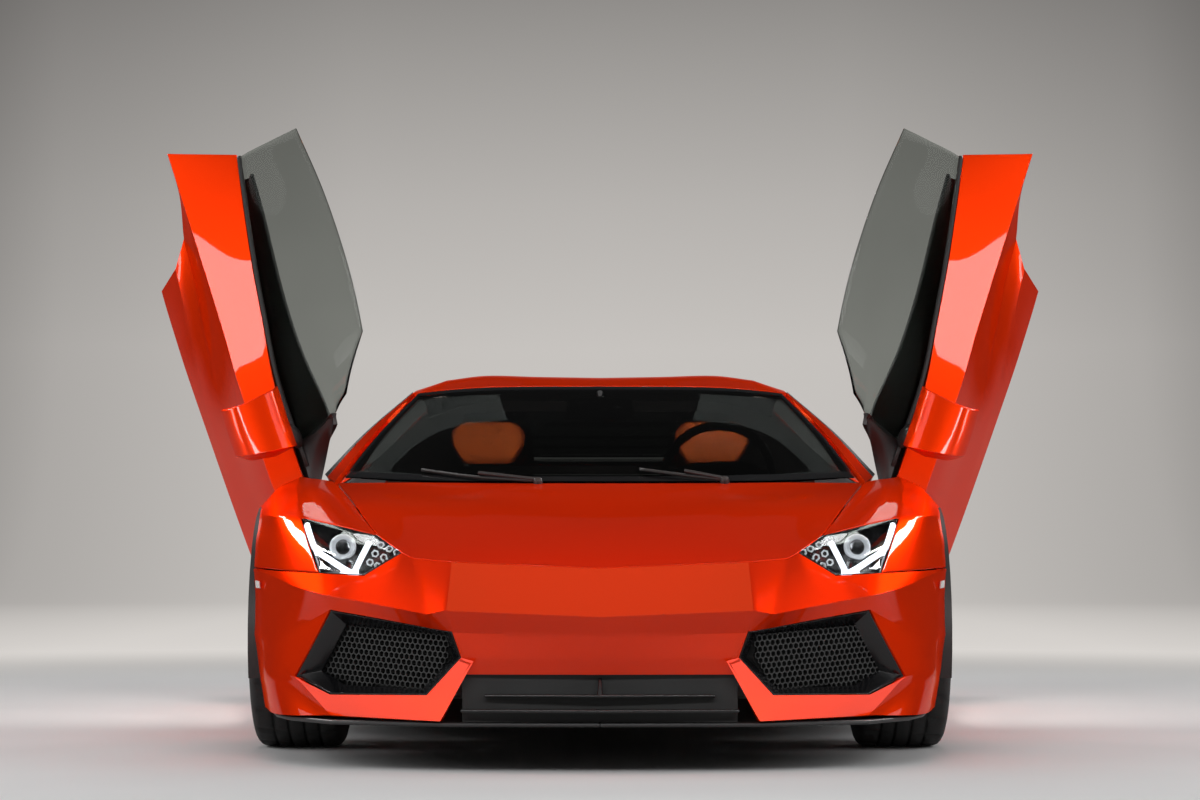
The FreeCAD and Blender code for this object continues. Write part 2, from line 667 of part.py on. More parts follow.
TAIL = patch([
    line((0, 2334, 870), (300, 2330, 870), (530, 2292, 868), (640, 2282, 866), (770, 2242, 856),
         (880, 2172, 828), (944, 2100, 770)),
    line((0, 2360, 790), (300, 2354, 790), (530, 2325, 790), (640, 2306, 788), (770, 2262, 780),
         (880, 2205, 760), (947, 2136, 716)),
    line((0, 2385, 620), (300, 2378, 620), (530, 2350, 620), (640, 2330, 620), (780, 2280, 615),
         (890, 2230, 605), (948, 2200, 562)),
    line((0, 2390, 440), (300, 2384, 440), (530, 2358, 440), (640, 2336, 440), (780, 2286, 430),
         (890, 2240, 410), (946, 2210, 400)),
])
# Body-coloured blade round each rear corner, below the lamp.
TAIL_BLADE = patch([
    line((560, 2366, 552), (720, 2318, 552), (880, 2248, 580), (950, 2208, 640)),
    line((560, 2378, 500), (720, 2330, 500), (890, 2256, 516), (956, 2212, 560)),
    line((600, 2362, 452), (730, 2322, 448), (880, 2258, 440), (952, 2214, 430)),
], breaks=(1,))
TAIL_MESH = [(560, 2372, 700), (850, 2252, 690), (862, 2248, 640), (800, 2273, 566), (560, 2372, 566)]
EXHAUST = [(-150, 375), (-100, 425), (100, 425), (150, 375), (100, 330), (-100, 330)]
EXHAUST_Z = 378


def exhaust_ring(grow, y):
    """The exhaust's outline, enlarged about its middle, at y."""
    return [(x * grow, y, EXHAUST_Z + (z - EXHAUST_Z) * grow) for x, z in EXHAUST]


details = []
for side in (1, -1):
    details.append(panel([sided(TAIL_BLADE, side)], gap=0))
    details.append(hexagon_grille(sided([TAIL_MESH], side)[0], 46, 7, -side * 26))
feature(panel(both_sides([TAIL])).fuse(details), "rear_bumper")

DIFFUSER = patch([
    line((0, 1860, 125), (350, 1860, 125), (640, 1860, 125), (860, 1860, 150)),
    line((0, 2130, 190), (350, 2130, 190), (640, 2125, 190), (900, 2100, 200)),
    line((0, 2375, 310), (350, 2370, 310), (640, 2320, 310), (930, 2195, 300)),
])
DIFFUSER_FINS = (-560, -380, -200, 200, 380, 560)
fins = []
for x in DIFFUSER_FINS:
    back = 2372 if abs(x) < 400 else 2340
    fins.append(prism([(x - 4, 1930, 142), (x - 4, back, 306), (x - 4, back + 4, 200),
                       (x - 4, back - 60, 150), (x - 4, 1980, 128)], (8, 0, 0)))
skin = panel(both_sides([DIFFUSER]), thick=14, inside=lambda p: Vec(p[0], 1900, 700))
# The frame round the end of the exhaust: how much wider than the pipe, and how far back.
SURROUND = [(1.3, 2362), (1.23, 2389), (1.08, 2387), (1.06, 2340)]
surround_rings = [exhaust_ring(grow, y) for grow, y in SURROUND]
surround = panel([[ring + ring[:1] for ring in surround_rings]], thick=6, gap=0, inside=behind)
feature(skin.fuse(fins + [surround]), "rear_diffuser")


def exhaust_prism(grow, start, length):
    return prism(exhaust_ring(grow, start), (0, length, 0))


divider = Part.makeBox(8, 100, 80, Vec(-4, 2262, 338))
feature(exhaust_prism(1, 2232, 145).cut(exhaust_prism(0.85, 2260, 200)).fuse(divider), "exhaust")

# Each tail lamp: a plate on the tail, and a row of three light guides shaped like a Y.
TAIL_LAMP = [[(650, 2309, 800), (770, 2266, 790), (870, 2216, 772)],
             [(650, 2322, 735), (770, 2277, 728), (870, 2226, 720)]]
tail_lamps = []
for side in (1, -1):
    lamp = panel([sided(TAIL_LAMP, side)], thick=-8, gap=0)
    guides = []
    for number in range(3):
        x, y, z = 668 + 68 * number, 2322 - 27 * number, 764 - 5 * number
        fork = (x + 26, y - 9, z)
        for points in ([(x, y, z), fork], [fork, (x + 52, y - 20, z + 20)],
                       [fork, (x + 52, y - 20, z - 20)]):
            guides += bars(sided([points], side)[0], 6)
    tail_lamps.append(lamp.fuse(guides))
feature(Part.makeCompound(tail_lamps), "tail_lamps")

# ---------------------------------------------------------------- sills
SILL = patch([
    line((1000, -700, 226), (1006, -125, 230), (1006, 120, 244), (1004, 345, 284), (1000, 735, 325)),
    line((1004, -700, 180), (1010, -125, 180), (1010, 120, 180), (1008, 345, 185), (1003, 735, 190)),
    line((970, -700, 122), (975, -125, 122), (975, 120, 122), (974, 345, 122), (970, 735, 122)),
], breaks=(1,))
feature(Part.makeCompound([panel([sided(SILL, side)]) for side in (1, -1)]), "sills")

# ---------------------------------------------------------------- doors
# Lines of the door from its front edge to its rear edge, with the door shut.
DOOR = patch([
    line((888, -838, 776), (889, -400, 790), (881, -139, 805), (856, 61, 830), (828, 259, 845),
         (783, 500, 858), (769, 570, 862)),
    line((962, -842, 725), (976, -400, 738), (973, -92, 742), (965, 61, 745), (959, 212, 745),
         (950, 503, 746), (947, 658, 752)),
    line((984, -850, 620), (986, -400, 640), (982, -92, 650), (968, 110, 665), (955, 280, 670),
         (944, 440, 675), (938, 540, 680)),
    line((991, -858, 490), (993, -400, 480), (988, -92, 470), (965, 110, 480), (945, 250, 485),
         (932, 370, 482), (925, 450, 480)),
    line((995, -760, 345), (1002, -400, 322), (1003, -125, 335), (996, 70, 375), (986, 190, 400),
         (978, 300, 425), (974, 372, 442)),
    line((1000, -700, 240), (1006, -400, 240), (1008, -125, 245), (1010, 70, 256), (1010, 180, 268),
         (1010, 280, 285), (1009, 345, 298)),
], breaks=(1, 3, 4))
# The window: its lower edge stands in the door, its upper edge meets the roof rail.
DOOR_GLASS = patch([
    line((872, -330, 770), (864, -139, 776), (844, 61, 800), (816, 259, 815), (784, 480, 828),
         (776, 540, 832)),
    line((862, -322, 806), (856, -139, 812), (836, 61, 838), (806, 259, 852), (770, 490, 866),
         (758, 560, 872)),
    line((765, -291, 925), (748, -132, 940), (728, 42, 962), (706, 218, 968), (686, 424, 968),
         (684, 560, 958)),
    line((668, -262, 1042), (645, -126, 1072), (625, 23, 1083), (614, 177, 1083), (609, 355, 1068),
         (616, 556, 1042)),
])
HINGE_AXIS = Vec(0.946, 0.018, -0.325).normalize()
HINGE_CENTRE = Vec(dim("DoorHingeX"), dim("DoorHingeY"), dim("DoorHingeZ"))


def hinge(side):
    """Centre and axis of a door's hinge; side is 1 on the left and -1 on the right."""
    centre = Vec(side * HINGE_CENTRE.x, HINGE_CENTRE.y, HINGE_CENTRE.z)
    return centre, Vec(HINGE_AXIS.x, side * HINGE_AXIS.y, side * HINGE_AXIS.z)


def raised(side):
    centre, axis = hinge(side)
    return FreeCAD.Placement(Vec(), FreeCAD.Rotation(axis, dim("DoorOpenAngle")), centre)


def door_thickness(point):
    """Thin ahead of the hinge, where the shell turns inside the fender."""
    share = max(0, min(1, (point.y + 620) / 170))
    return 34 + (dim("DoorThick") - 34) * share


def along_hinge(side, radius, start, end):
    """Cylinder about a door's hinge axis; start and end are measured outwards from P."""
    centre, axis = hinge(side)
    outwards = axis * side
    return Part.makeCylinder(radius, end - start, centre + outwards * start, outwards)


for side, name in ((1, "left"), (-1, "right")):
    shell = panel([sided(DOOR, side)], thick=door_thickness)
    boss = along_hinge(side, 34, -45, 72)
    bore = along_hinge(side, 18.05, -50, 30)
    foot = [[(x, y, z - 8) for x, y, z in DOOR_GLASS[0]]] + DOOR_GLASS[:STEPS + 1]
    slot = panel([sided(foot, side)], thick=GLASS + 4, gap=-6)
    shell = shell.fuse(boss).cut(bore).cut(slot)
    feature(shell, "door_" + name).Placement = raised(side)
    glass = panel([sided(DOOR_GLASS, side)], thick=GLASS, gap=1)
    feature(glass.translated(Vec(-2 * side, 0, 0)), "door_glass_" + name).Placement = raised(side)

# Section of a mirror's housing at its front, and how it runs back and closes.
MIRROR = [(902, -345, 905), (930, -352, 946), (962, -352, 968), (1045, -345, 973), (1078, -335, 952),
          (1092, -322, 915), (1086, -322, 888), (1045, -342, 871), (962, -352, 868), (912, -345, 878)]
MIRROR_TIP = 1092
mirror_middle = middle_of(MIRROR)
MIRROR_FRONT = [[towards(p, mirror_middle, share, -bulge) for p in MIRROR]
                for share, bulge in ((0.9, 10), (0.55, 9), (0.2, 5))]
MIRROR_BACK = [[(x + 1, y + 70 + (MIRROR_TIP - x) * 0.10, z + 5) for x, y, z in MIRROR],
               [(x - 2, y + 140 + (MIRROR_TIP - x) * 0.24, z + 8) for x, y, z in MIRROR]]
MIRROR_ARM = [[(874, -330, 792), (874, -230, 797), (874, -240, 782), (874, -320, 778)],
              [(925, -320, 905), (925, -250, 905), (925, -250, 888), (925, -320, 888)]]
for side, name in ((1, "left"), (-1, "right")):
    shell = solid_of_rings(sided(MIRROR_FRONT + [MIRROR] + MIRROR_BACK, side))
    housing = shell.fuse(solid_of_rings(sided(MIRROR_ARM, side)))
    feature(housing, "mirror_" + name).Placement = raised(side)


# ---------------------------------------------------------------- primitives bound to the sheet
def expression(value):
    return value if isinstance(value, str) else "%g" % value


def cell(text):
    """An expression in which words that are aliases name cells of the sheet."""
    for alias, _, _ in DIMENSIONS:
        text = text.replace("<%s>" % alias, "Dimensions." + alias)
    return text


def block(name, x, y, z):
    """Part::Box between the two values, numbers or expressions, of x, y and z."""
    box = doc.addObject("Part::Box", name)
    for size, place, (low, high) in (("Length", "x", x), ("Width", "y", y), ("Height", "z", z)):
        low, high = cell(expression(low)), cell(expression(high))
        box.setExpression(size, "(%s) - (%s)" % (high, low))
        box.setExpression("Placement.Base." + place, low)
    return box


def rod(name, start, end, radius):
    """Part::Cylinder from start to end."""
    cylinder = doc.addObject("Part::Cylinder", name)
    start, end = Vec(*start), Vec(*end)
    cylinder.setExpression("Radius", cell(expression(radius)))
    cylinder.Height = (end - start).Length
    cylinder.Placement = FreeCAD.Placement(start, FreeCAD.Rotation(Vec(0, 0, 1), end - start))
    return cylinder


def fused(label, pieces):
    if len(pieces) == 1:
        return keep(pieces[0], label)
    union = doc.addObject("Part::MultiFuse", label)
    union.Shapes = pieces
    union.Refine = False
    return keep(union, label)


# ---------------------------------------------------------------- tub
fused("chassis_tub", [
    block("tub_floor", (-700, 700), (-830, 595), ("<FloorZ> + 6", "<FloorZ> + 36")),
    block("tub_tunnel", (-140, 140), (-830, 595), ("<FloorZ> + 8", 330)),
])

tub_sides = []
for side, name in ((1, "left"), (-1, "right")):
    centre, axis = hinge(side)
    outwards = axis * side
    box_x = sorted((700 * side, 900 * side))
    post_x = sorted((694 * side, 746 * side))
    tub_sides.append(block("side_box_" + name, box_x, (-830, 595), ("<FloorZ> + 4", 222)))
    tub_sides.append(block("hinge_post_" + name, post_x, (-824, -580), (215, 690)))
    tub_sides.append(rod("hinge_pin_" + name, tuple(centre - outwards * 180),
                         tuple(centre + outwards * 25), 18))
fused("tub_sides", tub_sides)

fused("subframes", [
    block("front_wall", (-720, 720), (-870, -830), ("<FloorZ> + 10", 700)),
    block("front_rail_left", (230, 290), (-2080, -850), (190, 290)),
    block("front_rail_right", (-290, -230), (-2080, -850), (190, 290)),
    block("front_beam", (-330, 330), (-2120, -2060), (180, 310)),
    block("rear_wall", (-730, 730), (595, 630), ("<FloorZ> + 10", 850)),
    block("rear_rail_left", (340, 400), (620, 2200), (300, 380)),
    block("rear_rail_right", (-400, -340), (620, 2200), (300, 380)),
    block("rear_beam", (-440, 440), (2175, 2230), (290, 390)),
])

fused("undertray", [
    block("tray_front", (-500, 500), (-1638, -872), ("<FloorZ>", "<FloorZ> + 5")),
    block("tray_rear", (-560, 560), (632, 1850), ("<FloorZ>", "<FloorZ> + 5")),
])
fused("engine_block", [block("engine", (-300, 300), (700, 1330), (200, 800)),
                       block("gearbox", (-200, 200), (1330, 1760), (200, 480))])
fused("rear_glass", [block("rear_glass_pane", (-470, 470), (584, "584 + <GlassThick>"), (890, 1050))])

# ---------------------------------------------------------------- interior
# Outlines seen from the side, y and z: the dashboard, and the console on the tunnel.
DASHBOARD = [(-826, 560), (-826, 735), (-760, 780), (-590, 800), (-480, 745), (-500, 600)]
CONSOLE = [(-700, 330), (-700, 548), (-498, 588), (-470, 640), (-380, 560), (-150, 440),
           (150, 400), (150, 330)]
dashboard = prism([(-660, y, z) for y, z in DASHBOARD], (1320, 0, 0))
console = prism([(-110, y, z) for y, z in CONSOLE], (220, 0, 0))
feature(Part.makeCompound([dashboard, console]), "dashboard")


def seat(side):
    def ring(half_width, points):
        (y0, z0), (y1, z1) = points
        middle = side * dim("SeatX")
        return [(middle - half_width, y0, z0), (middle + half_width, y0, z0),
                (middle + half_width, y1, z1), (middle - half_width, y1, z1)]
    cushion = solid_of_rings([ring(225, ((-380, 160), (-380, 330))), ring(225, ((120, 160), (120, 260)))])
    back = solid_of_rings([ring(230, ((100, 160), (260, 160))), ring(225, ((150, 560), (300, 560))),
                 ring(150, ((185, 830), (290, 830))), ring(118, ((170, 995), (240, 995)))])
    return cushion.fuse(back)


feature(Part.makeCompound([seat(1), seat(-1)]), "seats")

wheel_centre = Vec(dim("SeatX"), -330, 790)
wheel_axis = Vec(0, 0.94, 0.342)


def faceted_ring(centre, axis, profile, facets):
    """Ring about axis through centre, in flat facets, from (radius, along) corners."""
    start = axis.cross(Vec(1, 0, 0) if abs(axis.x) < 0.9 else Vec(0, 0, 1)).normalize()
    points, triangles, size = [], [], len(profile)
    for turn in range(facets):
        way = FreeCAD.Rotation(axis, turn * 360 / facets).multVec(start)
        points += [centre + way * radius + axis * along for radius, along in profile]
        here, there = turn * size, (turn + 1) % facets * size
        for k in range(size):
            after = (k + 1) % size
            triangles += [(here + k, here + after, there + after), (here + k, there + after, there + k)]
    return closed_solid(points, triangles)


rim_section = [(dim("SteeringWheelRadius") - 15 + 15 * math.cos(math.radians(turn)),
                15 * math.sin(math.radians(turn))) for turn in range(0, 360, 60)]
rim = doc.addObject("Part::Feature", "steering_rim")
rim.Shape = faceted_ring(wheel_centre, wheel_axis, rim_section, 36)
spokes = [rod("steering_hub", tuple(wheel_centre - wheel_axis * 60),
              tuple(wheel_centre + wheel_axis * 5), 55)]
across = Vec(1, 0, 0)
down = wheel_axis.cross(across)
for number, way in enumerate((across, across * -1, down if down.z < 0 else down * -1)):
    spokes.append(rod("steering_spoke_%d" % number, tuple(wheel_centre + way * 20),
                      tuple(wheel_centre + way * (dim("SteeringWheelRadius") - 18)), 10))
fused("steering_wheel", [rim] + spokes)

# ---------------------------------------------------------------- wheels and running gear
AXLES = {
    "front": dict(y=FRONT_Y, track="FrontTrack", tyre="FrontTyreRadius", width="FrontTyreWidth",
                  rim="FrontRimRadius", disc=190),
    "rear": dict(y=REAR_Y, track="RearTrack", tyre="RearTyreRadius", width="RearTyreWidth",
                 rim="RearRimRadius", disc=180),
}
SPOKE_PAIRS = 5
SPOKE_LEAN = 15
TYRE_FACETS = 60


def ring_solid(axle, side, parts):
    """Solid of revolution about a wheel's axle from (radius, inner, outer) steps.

    inner and outer are measured outboard from the tyre's mid-plane."""
    middle = side * dim(axle["track"]) / 2
    centre = Vec(middle, axle["y"], dim(axle["tyre"]))
    outwards = Vec(side, 0, 0)
    return [Part.makeCylinder(radius, outer - inner, centre + outwards * inner, outwards)
            for radius, inner, outer in parts]


def tyre_solid(axle, side):
    radius, half = dim(axle["tyre"]), dim(axle["width"]) / 2
    # The middle of each inner facet stands this clear of the round rim.
    seat_radius = (dim(axle["rim"]) + 0.3) / math.cos(math.pi / TYRE_FACETS)
    profile = [(seat_radius, -half + 12), (seat_radius + 14, -half + 4),
               (radius - 44, -half), (radius - 16, -half + 8), (radius - 4, -half + 26),
               (radius, -half + 60), (radius, half - 60), (radius - 4, half - 26),
               (radius - 16, half - 8), (radius - 44, half), (seat_radius + 14, half - 4),
               (seat_radius, half - 12)]
    centre = Vec(side * dim(axle["track"]) / 2, axle["y"], radius)
    return faceted_ring(centre, Vec(1, 0, 0), profile, TYRE_FACETS)


def spoke_solid(reach, face, side, lean):
    """Tapering spoke from the hub up to reach, which leans to one side as it rises.

    face is how far outboard of the tyre's mid-plane the rim's front stands."""
    rings = []
    # distance from the axle, half width, outboard face, depth
    for radius, wide, x, deep in ((52, 17, face - 30, 30), (110, 13, face - 12, 28),
                                  (reach - 60, 12, face + 2, 26), (reach - 14, 15, face + 8, 30),
                                  (reach + 2, 20, face + 4, 40)):
        sweep = lean * SPOKE_LEAN * (0.35 + 0.65 * (radius - 52) / (reach - 50))
        ring = []
        for along, across in ((x, -wide * 0.55), (x, wide * 0.55), (x - 5, wide),
                              (x - deep, wide * 0.8), (x - deep, -wide * 0.8), (x - 5, -wide)):
            angle = math.radians(sweep) + across / max(radius, 60)
            ring.append((side * along, radius * math.sin(angle), radius * math.cos(angle)))
        rings.append(ring)
    return solid_of_rings(rings)


def rim_solid(axle, side):
    rim_radius, half = dim(axle["rim"]), dim(axle["width"]) / 2 - 12
    outer, bore, hub, disc = ring_solid(axle, side, [
        (rim_radius, -half, half), (rim_radius - 13, -half - 1, half + 1), (74, -10, half - 30),
        (axle["disc"], -48, -14)])
    bell = ring_solid(axle, side, [(88, -48, 0)])[0]
    spindle = ring_solid(axle, side, [(30.03, -200, 10)])[0]
    solid = outer.cut(bore).fuse([hub, disc, bell])
    middle = Vec(side * dim(axle["track"]) / 2, axle["y"], dim(axle["tyre"]))
    arms = []
    for pair in range(SPOKE_PAIRS):
        for lean in (-1, 1):
            arm = spoke_solid(rim_radius - 10, half - 18, side, lean)
            arm.Placement = FreeCAD.Placement(
                middle, FreeCAD.Rotation(Vec(1, 0, 0), pair * 360 / SPOKE_PAIRS))
            arms.append(arm)
    return solid.fuse(arms).cut(spindle)


for end, axle in AXLES.items():
    for side, name in ((1, "left"), (-1, "right")):
        feature(tyre_solid(axle, side), "tyre_%s_%s" % (end, name))
        feature(rim_solid(axle, side), "wheel_%s_%s" % (end, name))


def knuckle_solid(axle, side):
    """Upright with its stub axle and the brake caliper that it carries."""
    middle = side * dim(axle["track"]) / 2
    centre = Vec(middle, axle["y"], dim(axle["tyre"]))
    outwards = Vec(side, 0, 0)
    stub = Part.makeCylinder(30, 150, centre + outwards * -150, outwards)
    upright = Part.makeBox(40, 90, 240, centre + Vec(-side * 130 - 20, -45, -120))
    reach = axle["disc"]
    caliper = Part.makeBox(76, 60, 150, Vec(-38, reach - 44, -75))
    slot = Part.makeBox(44, 60, 170, Vec(-22, reach - 60, -85))
    caliper = caliper.cut(slot)
    caliper.translate(centre + outwards * -31)
    arm = Part.makeBox(18, reach + 16, 60, centre + Vec(-side * 122 - 9, 0, -30))
    link = Part.makeBox(62, 22, 60, centre + Vec(-side * 100 - 31, reach - 6, -30))
    return upright.fuse([stub, caliper, arm, link])


for side, name in ((1, "left"), (-1, "right")):
    feature(knuckle_solid(AXLES["front"], side), "front_knuckle_" + name)


def arms_for(end, side):
    """Wishbones and spring unit between the tub and an upright."""
    axle = AXLES[end]
    z, y = dim(axle["tyre"]), axle["y"]
    root = 330 if end == "front" else 440
    ball = dim(axle["track"]) / 2 - 166
    links = []
    for number, (dz, spread) in enumerate(((-105, 150), (105, 120))):
        for way in (-1, 1):
            links.append(rod("%s_arm_%d_%d_%d" % (end, side, number, way),
                             (side * root, y + way * spread, z + dz * 0.7),
                             (side * ball, y, z + dz), 13))
    links.append(rod("%s_spring_%d" % (end, side), (side * (ball - 60), y, z - 80),
                     (side * (root + 60), y + 20, z + 230), 34))
    return links


front_links = arms_for("front", 1) + arms_for("front", -1)
front_links += [block("front_subframe_left", (290, 332), (-1430, -1090), (200, 420)),
                block("front_subframe_right", (-332, -290), (-1430, -1090), (200, 420)),
                block("front_cross", (-292, 292), (-1290, -1230), (300, 360)),
                block("front_post_left", (290, 380), (-1290, -1210), (400, 600)),
                block("front_post_right", (-380, -290), (-1290, -1210), (400, 600))]
fused("front_suspension", front_links)
rear_links = arms_for("rear", 1) + arms_for("rear", -1)
rear_links += [block("rear_subframe_left", (400, 442), (1300, 1580), (240, 460)),
               block("rear_subframe_right", (-442, -400), (1300, 1580), (240, 460)),
               block("rear_post_left", (400, 500), (1430, 1490), (440, 640)),
               block("rear_post_right", (-500, -400), (1430, 1490), (440, 640))]
doc.recompute()
rear_uprights = [knuckle_solid(AXLES["rear"], side) for side in (1, -1)]
rear_shape = rear_links[0].Shape.fuse([link.Shape for link in rear_links[1:]] + rear_uprights)
feature(rear_shape, "rear_suspension")

# ---------------------------------------------------------------- write
os.makedirs("parts", exist_ok=True)
doc.recompute()
bad = [obj.Label for obj in doc.Objects if "Invalid" in obj.State or "Error" in obj.State]
bad += [obj.Label for obj in subparts if obj.Shape.isNull() or not obj.Shape.isValid()]
if bad:
    raise RuntimeError("failed: " + ", ".join(bad))
for obj in subparts:
    obj.Shape.exportStep("parts/%s.step" % obj.Label)
print(len(subparts), "sub-parts")
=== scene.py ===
"""Mid-engined supercar with its doors raised, in a plain pale studio."""

import math

import bmesh
import bpy
from mathutils import Matrix, Vector


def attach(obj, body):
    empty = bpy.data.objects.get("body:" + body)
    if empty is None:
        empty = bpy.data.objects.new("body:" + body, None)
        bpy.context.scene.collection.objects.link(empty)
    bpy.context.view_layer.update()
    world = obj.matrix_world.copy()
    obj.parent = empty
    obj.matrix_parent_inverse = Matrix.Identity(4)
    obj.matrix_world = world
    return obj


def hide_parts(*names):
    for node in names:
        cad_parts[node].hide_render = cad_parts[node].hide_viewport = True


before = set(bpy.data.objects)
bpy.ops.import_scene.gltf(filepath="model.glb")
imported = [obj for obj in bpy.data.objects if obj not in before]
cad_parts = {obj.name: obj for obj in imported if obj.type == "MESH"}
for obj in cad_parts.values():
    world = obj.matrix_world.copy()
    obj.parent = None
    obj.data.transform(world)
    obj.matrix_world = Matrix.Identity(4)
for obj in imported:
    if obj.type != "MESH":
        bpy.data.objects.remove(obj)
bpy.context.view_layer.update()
MM = 0.001
SIDES = ((1, "left"), (-1, "right"))


# ---------------------------------------------------------------- materials
def put(node, **inputs):
    """Gives inputs of a node a value or another node's output; _ stands for a space."""
    for name, source in inputs.items():
        socket = node.inputs[name.replace("_", " ")]
        if isinstance(source, bpy.types.NodeSocket):
            node.id_data.links.new(source, socket)
        else:
            socket.default_value = source
    return node


def new_node(tree, kind, **inputs):
    return put(tree.nodes.new("ShaderNode" + kind), **inputs)


def new_material(name):
    material = bpy.data.materials.new(name)
    material.use_nodes = True
    return material, material.node_tree, material.node_tree.nodes["Principled BSDF"]


def object_place(tree):
    return new_node(tree, "TexCoord").outputs["Object"]


def noise_in(tree, scale, detail=3.0, stretch=(1, 1, 1)):
    mapping = new_node(tree, "Mapping", Vector=object_place(tree), Scale=stretch)
    return new_node(tree, "TexNoise", Vector=mapping.outputs["Vector"], Scale=scale,
                    Detail=detail).outputs["Fac"]


def ramp_between(tree, factor, first, second, low=0.35, high=0.65):
    ramp = new_node(tree, "ValToRGB", Fac=factor)
    for element, place, colour in zip(ramp.color_ramp.elements, (low, high), (first, second)):
        element.position = place
        element.color = (*colour, 1)
    return ramp.outputs["Color"]


def bump_from(tree, height, strength, distance):
    return new_node(tree, "Bump", Height=height, Strength=strength,
                    Distance=distance).outputs["Normal"]


def surface(name, colour, second=None, rough=(0.5, 0.5), metal=0.0, scale=60.0, bump=0.0,
            depth=0.0005, stretch=(1, 1, 1), detail=3.0):
    """Procedural material: noise mixes two colours and roughnesses and lifts the surface."""
    material, tree, shader = new_material(name)
    noise = noise_in(tree, scale, detail, stretch)
    second = second or tuple(min(1, c * 1.18 + 0.002) for c in colour)
    span = new_node(tree, "MapRange", Value=noise, To_Min=rough[0], To_Max=rough[1])
    put(shader, Base_Color=ramp_between(tree, noise, colour, second),
        Roughness=span.outputs["Result"], Metallic=metal)
    if bump:
        put(shader, Normal=bump_from(tree, noise, bump, depth))
    return material


def paint_material(name, colour, pearl):
    """Pearl paint: coloured flakes that shine towards pearl, under a thin clear coat."""
    material, tree, shader = new_material(name)
    flakes = new_node(tree, "TexVoronoi", Vector=object_place(tree),
                      Scale=1400).outputs["Distance"]
    deeper = tuple(c * 0.9 for c in colour)
    face_on, glancing = COAT_SPAN
    coat = new_node(tree, "MapRange", Value=new_node(tree, "LayerWeight").outputs["Facing"],
                    To_Min=face_on, To_Max=glancing)
    put(shader, Base_Color=ramp_between(tree, flakes, colour, deeper, 0.1, 0.9),
        Normal=bump_from(tree, flakes, 0.02, 0.0002), Coat_Weight=coat.outputs["Result"],
        Metallic=0.6, Roughness=0.4, Specular_IOR_Level=0, Specular_Tint=(*pearl, 1),
        Coat_Roughness=0.02, Coat_IOR=1.35)
    return material


def glass_material(name, colour, rough=0.0, ior=1.45):
    material, tree, shader = new_material(name)
    shade = tuple(c * 0.94 for c in colour)
    put(shader, Base_Color=ramp_between(tree, noise_in(tree, 3.0), colour, shade),
        Transmission_Weight=1.0, Roughness=rough, IOR=ior)
    return material


def carbon_material(name):
    """Dark squares of cloth under lacquer."""
    material, tree, shader = new_material(name)
    checker = new_node(tree, "TexChecker", Vector=object_place(tree), Scale=220,
                       Color1=(0.012, 0.012, 0.013, 1), Color2=(0.045, 0.045, 0.048, 1))
    put(shader, Base_Color=checker.outputs["Color"],
        Normal=bump_from(tree, checker.outputs["Fac"], 0.15, 0.0003),
        Roughness=0.38, Coat_Weight=0.6, Coat_Roughness=0.12)
    return material


def glow_material(name, colour, strength):
    material, tree, shader = new_material(name)
    put(shader, Base_Color=ramp_between(tree, noise_in(tree, 40.0), colour, colour),
        Emission_Color=(*colour, 1), Emission_Strength=strength)
    return material


# Weight of the clear coat where it is seen face on, and at a glancing angle.
COAT_SPAN = (1.0, 0.15)
PAINT = paint_material("pearl_orange", (0.82, 0.034, 0.0015), (1.0, 0.40, 0.10))
GLOSS = surface("gloss_black", (0.006, 0.006, 0.007), rough=(0.12, 0.2), scale=12)
SATIN = surface("satin_black", (0.014, 0.014, 0.015), (0.022, 0.022, 0.023), rough=(0.42, 0.55),
                scale=900, bump=0.2, depth=0.0002)
RUBBER = surface("rubber", (0.012, 0.012, 0.012), (0.02, 0.02, 0.02), rough=(0.72, 0.88),
                 scale=160, bump=0.3, depth=0.0003)
SEAL = surface("rubber_seal", (0.009, 0.009, 0.009), rough=(0.6, 0.7), scale=300)
GLASS = glass_material("window_glass", (0.34, 0.365, 0.345), ior=1.12)
SCREEN = glass_material("windscreen_glass", (0.035, 0.039, 0.037), ior=1.13)
CLEAR = glass_material("clear_lens", (0.92, 0.94, 0.95), ior=1.15)
RED_LENS = glass_material("red_lens", (0.65, 0.02, 0.015), 0.05)
CARBON = carbon_material("carbon_twill")
ALLOY = surface("dark_alloy", (0.035, 0.035, 0.037), (0.05, 0.05, 0.053), rough=(0.28, 0.36),
                metal=0.85, scale=400, bump=0.05)
ALUMINIUM = surface("cast_aluminium", (0.42, 0.42, 0.43), (0.52, 0.52, 0.53), rough=(0.36, 0.5),
                    metal=1.0, scale=220, bump=0.15, depth=0.0004)
DISC = surface("brake_disc", (0.30, 0.30, 0.30), (0.42, 0.42, 0.42), rough=(0.3, 0.42), metal=1.0,
               scale=90, stretch=(1, 6, 6))
CHROME = surface("bright_metal", (0.75, 0.75, 0.76), rough=(0.08, 0.14), metal=1.0, scale=30)
STEEL = surface("exhaust_steel", (0.30, 0.28, 0.26), (0.45, 0.43, 0.41), rough=(0.25, 0.4),
                metal=1.0, scale=40)
IRON = surface("cast_iron", (0.07, 0.07, 0.072), (0.11, 0.11, 0.112), rough=(0.55, 0.7), metal=0.6,
               scale=180, bump=0.4, depth=0.0008)
CALIPER = surface("caliper_paint", (0.03, 0.03, 0.032), rough=(0.3, 0.4), scale=60)
LEATHER = surface("orange_leather", (0.44, 0.085, 0.018), (0.50, 0.11, 0.025), rough=(0.46, 0.6),
                  scale=420, bump=0.35, depth=0.0004, detail=6.0)
DARK_LEATHER = surface("black_leather", (0.014, 0.013, 0.013), (0.022, 0.021, 0.02),
                       rough=(0.5, 0.62), scale=420, bump=0.35, depth=0.0004, detail=6.0)
TRIM = surface("door_trim", (0.032, 0.036, 0.034), (0.042, 0.047, 0.045), rough=(0.5, 0.6),
               scale=400)
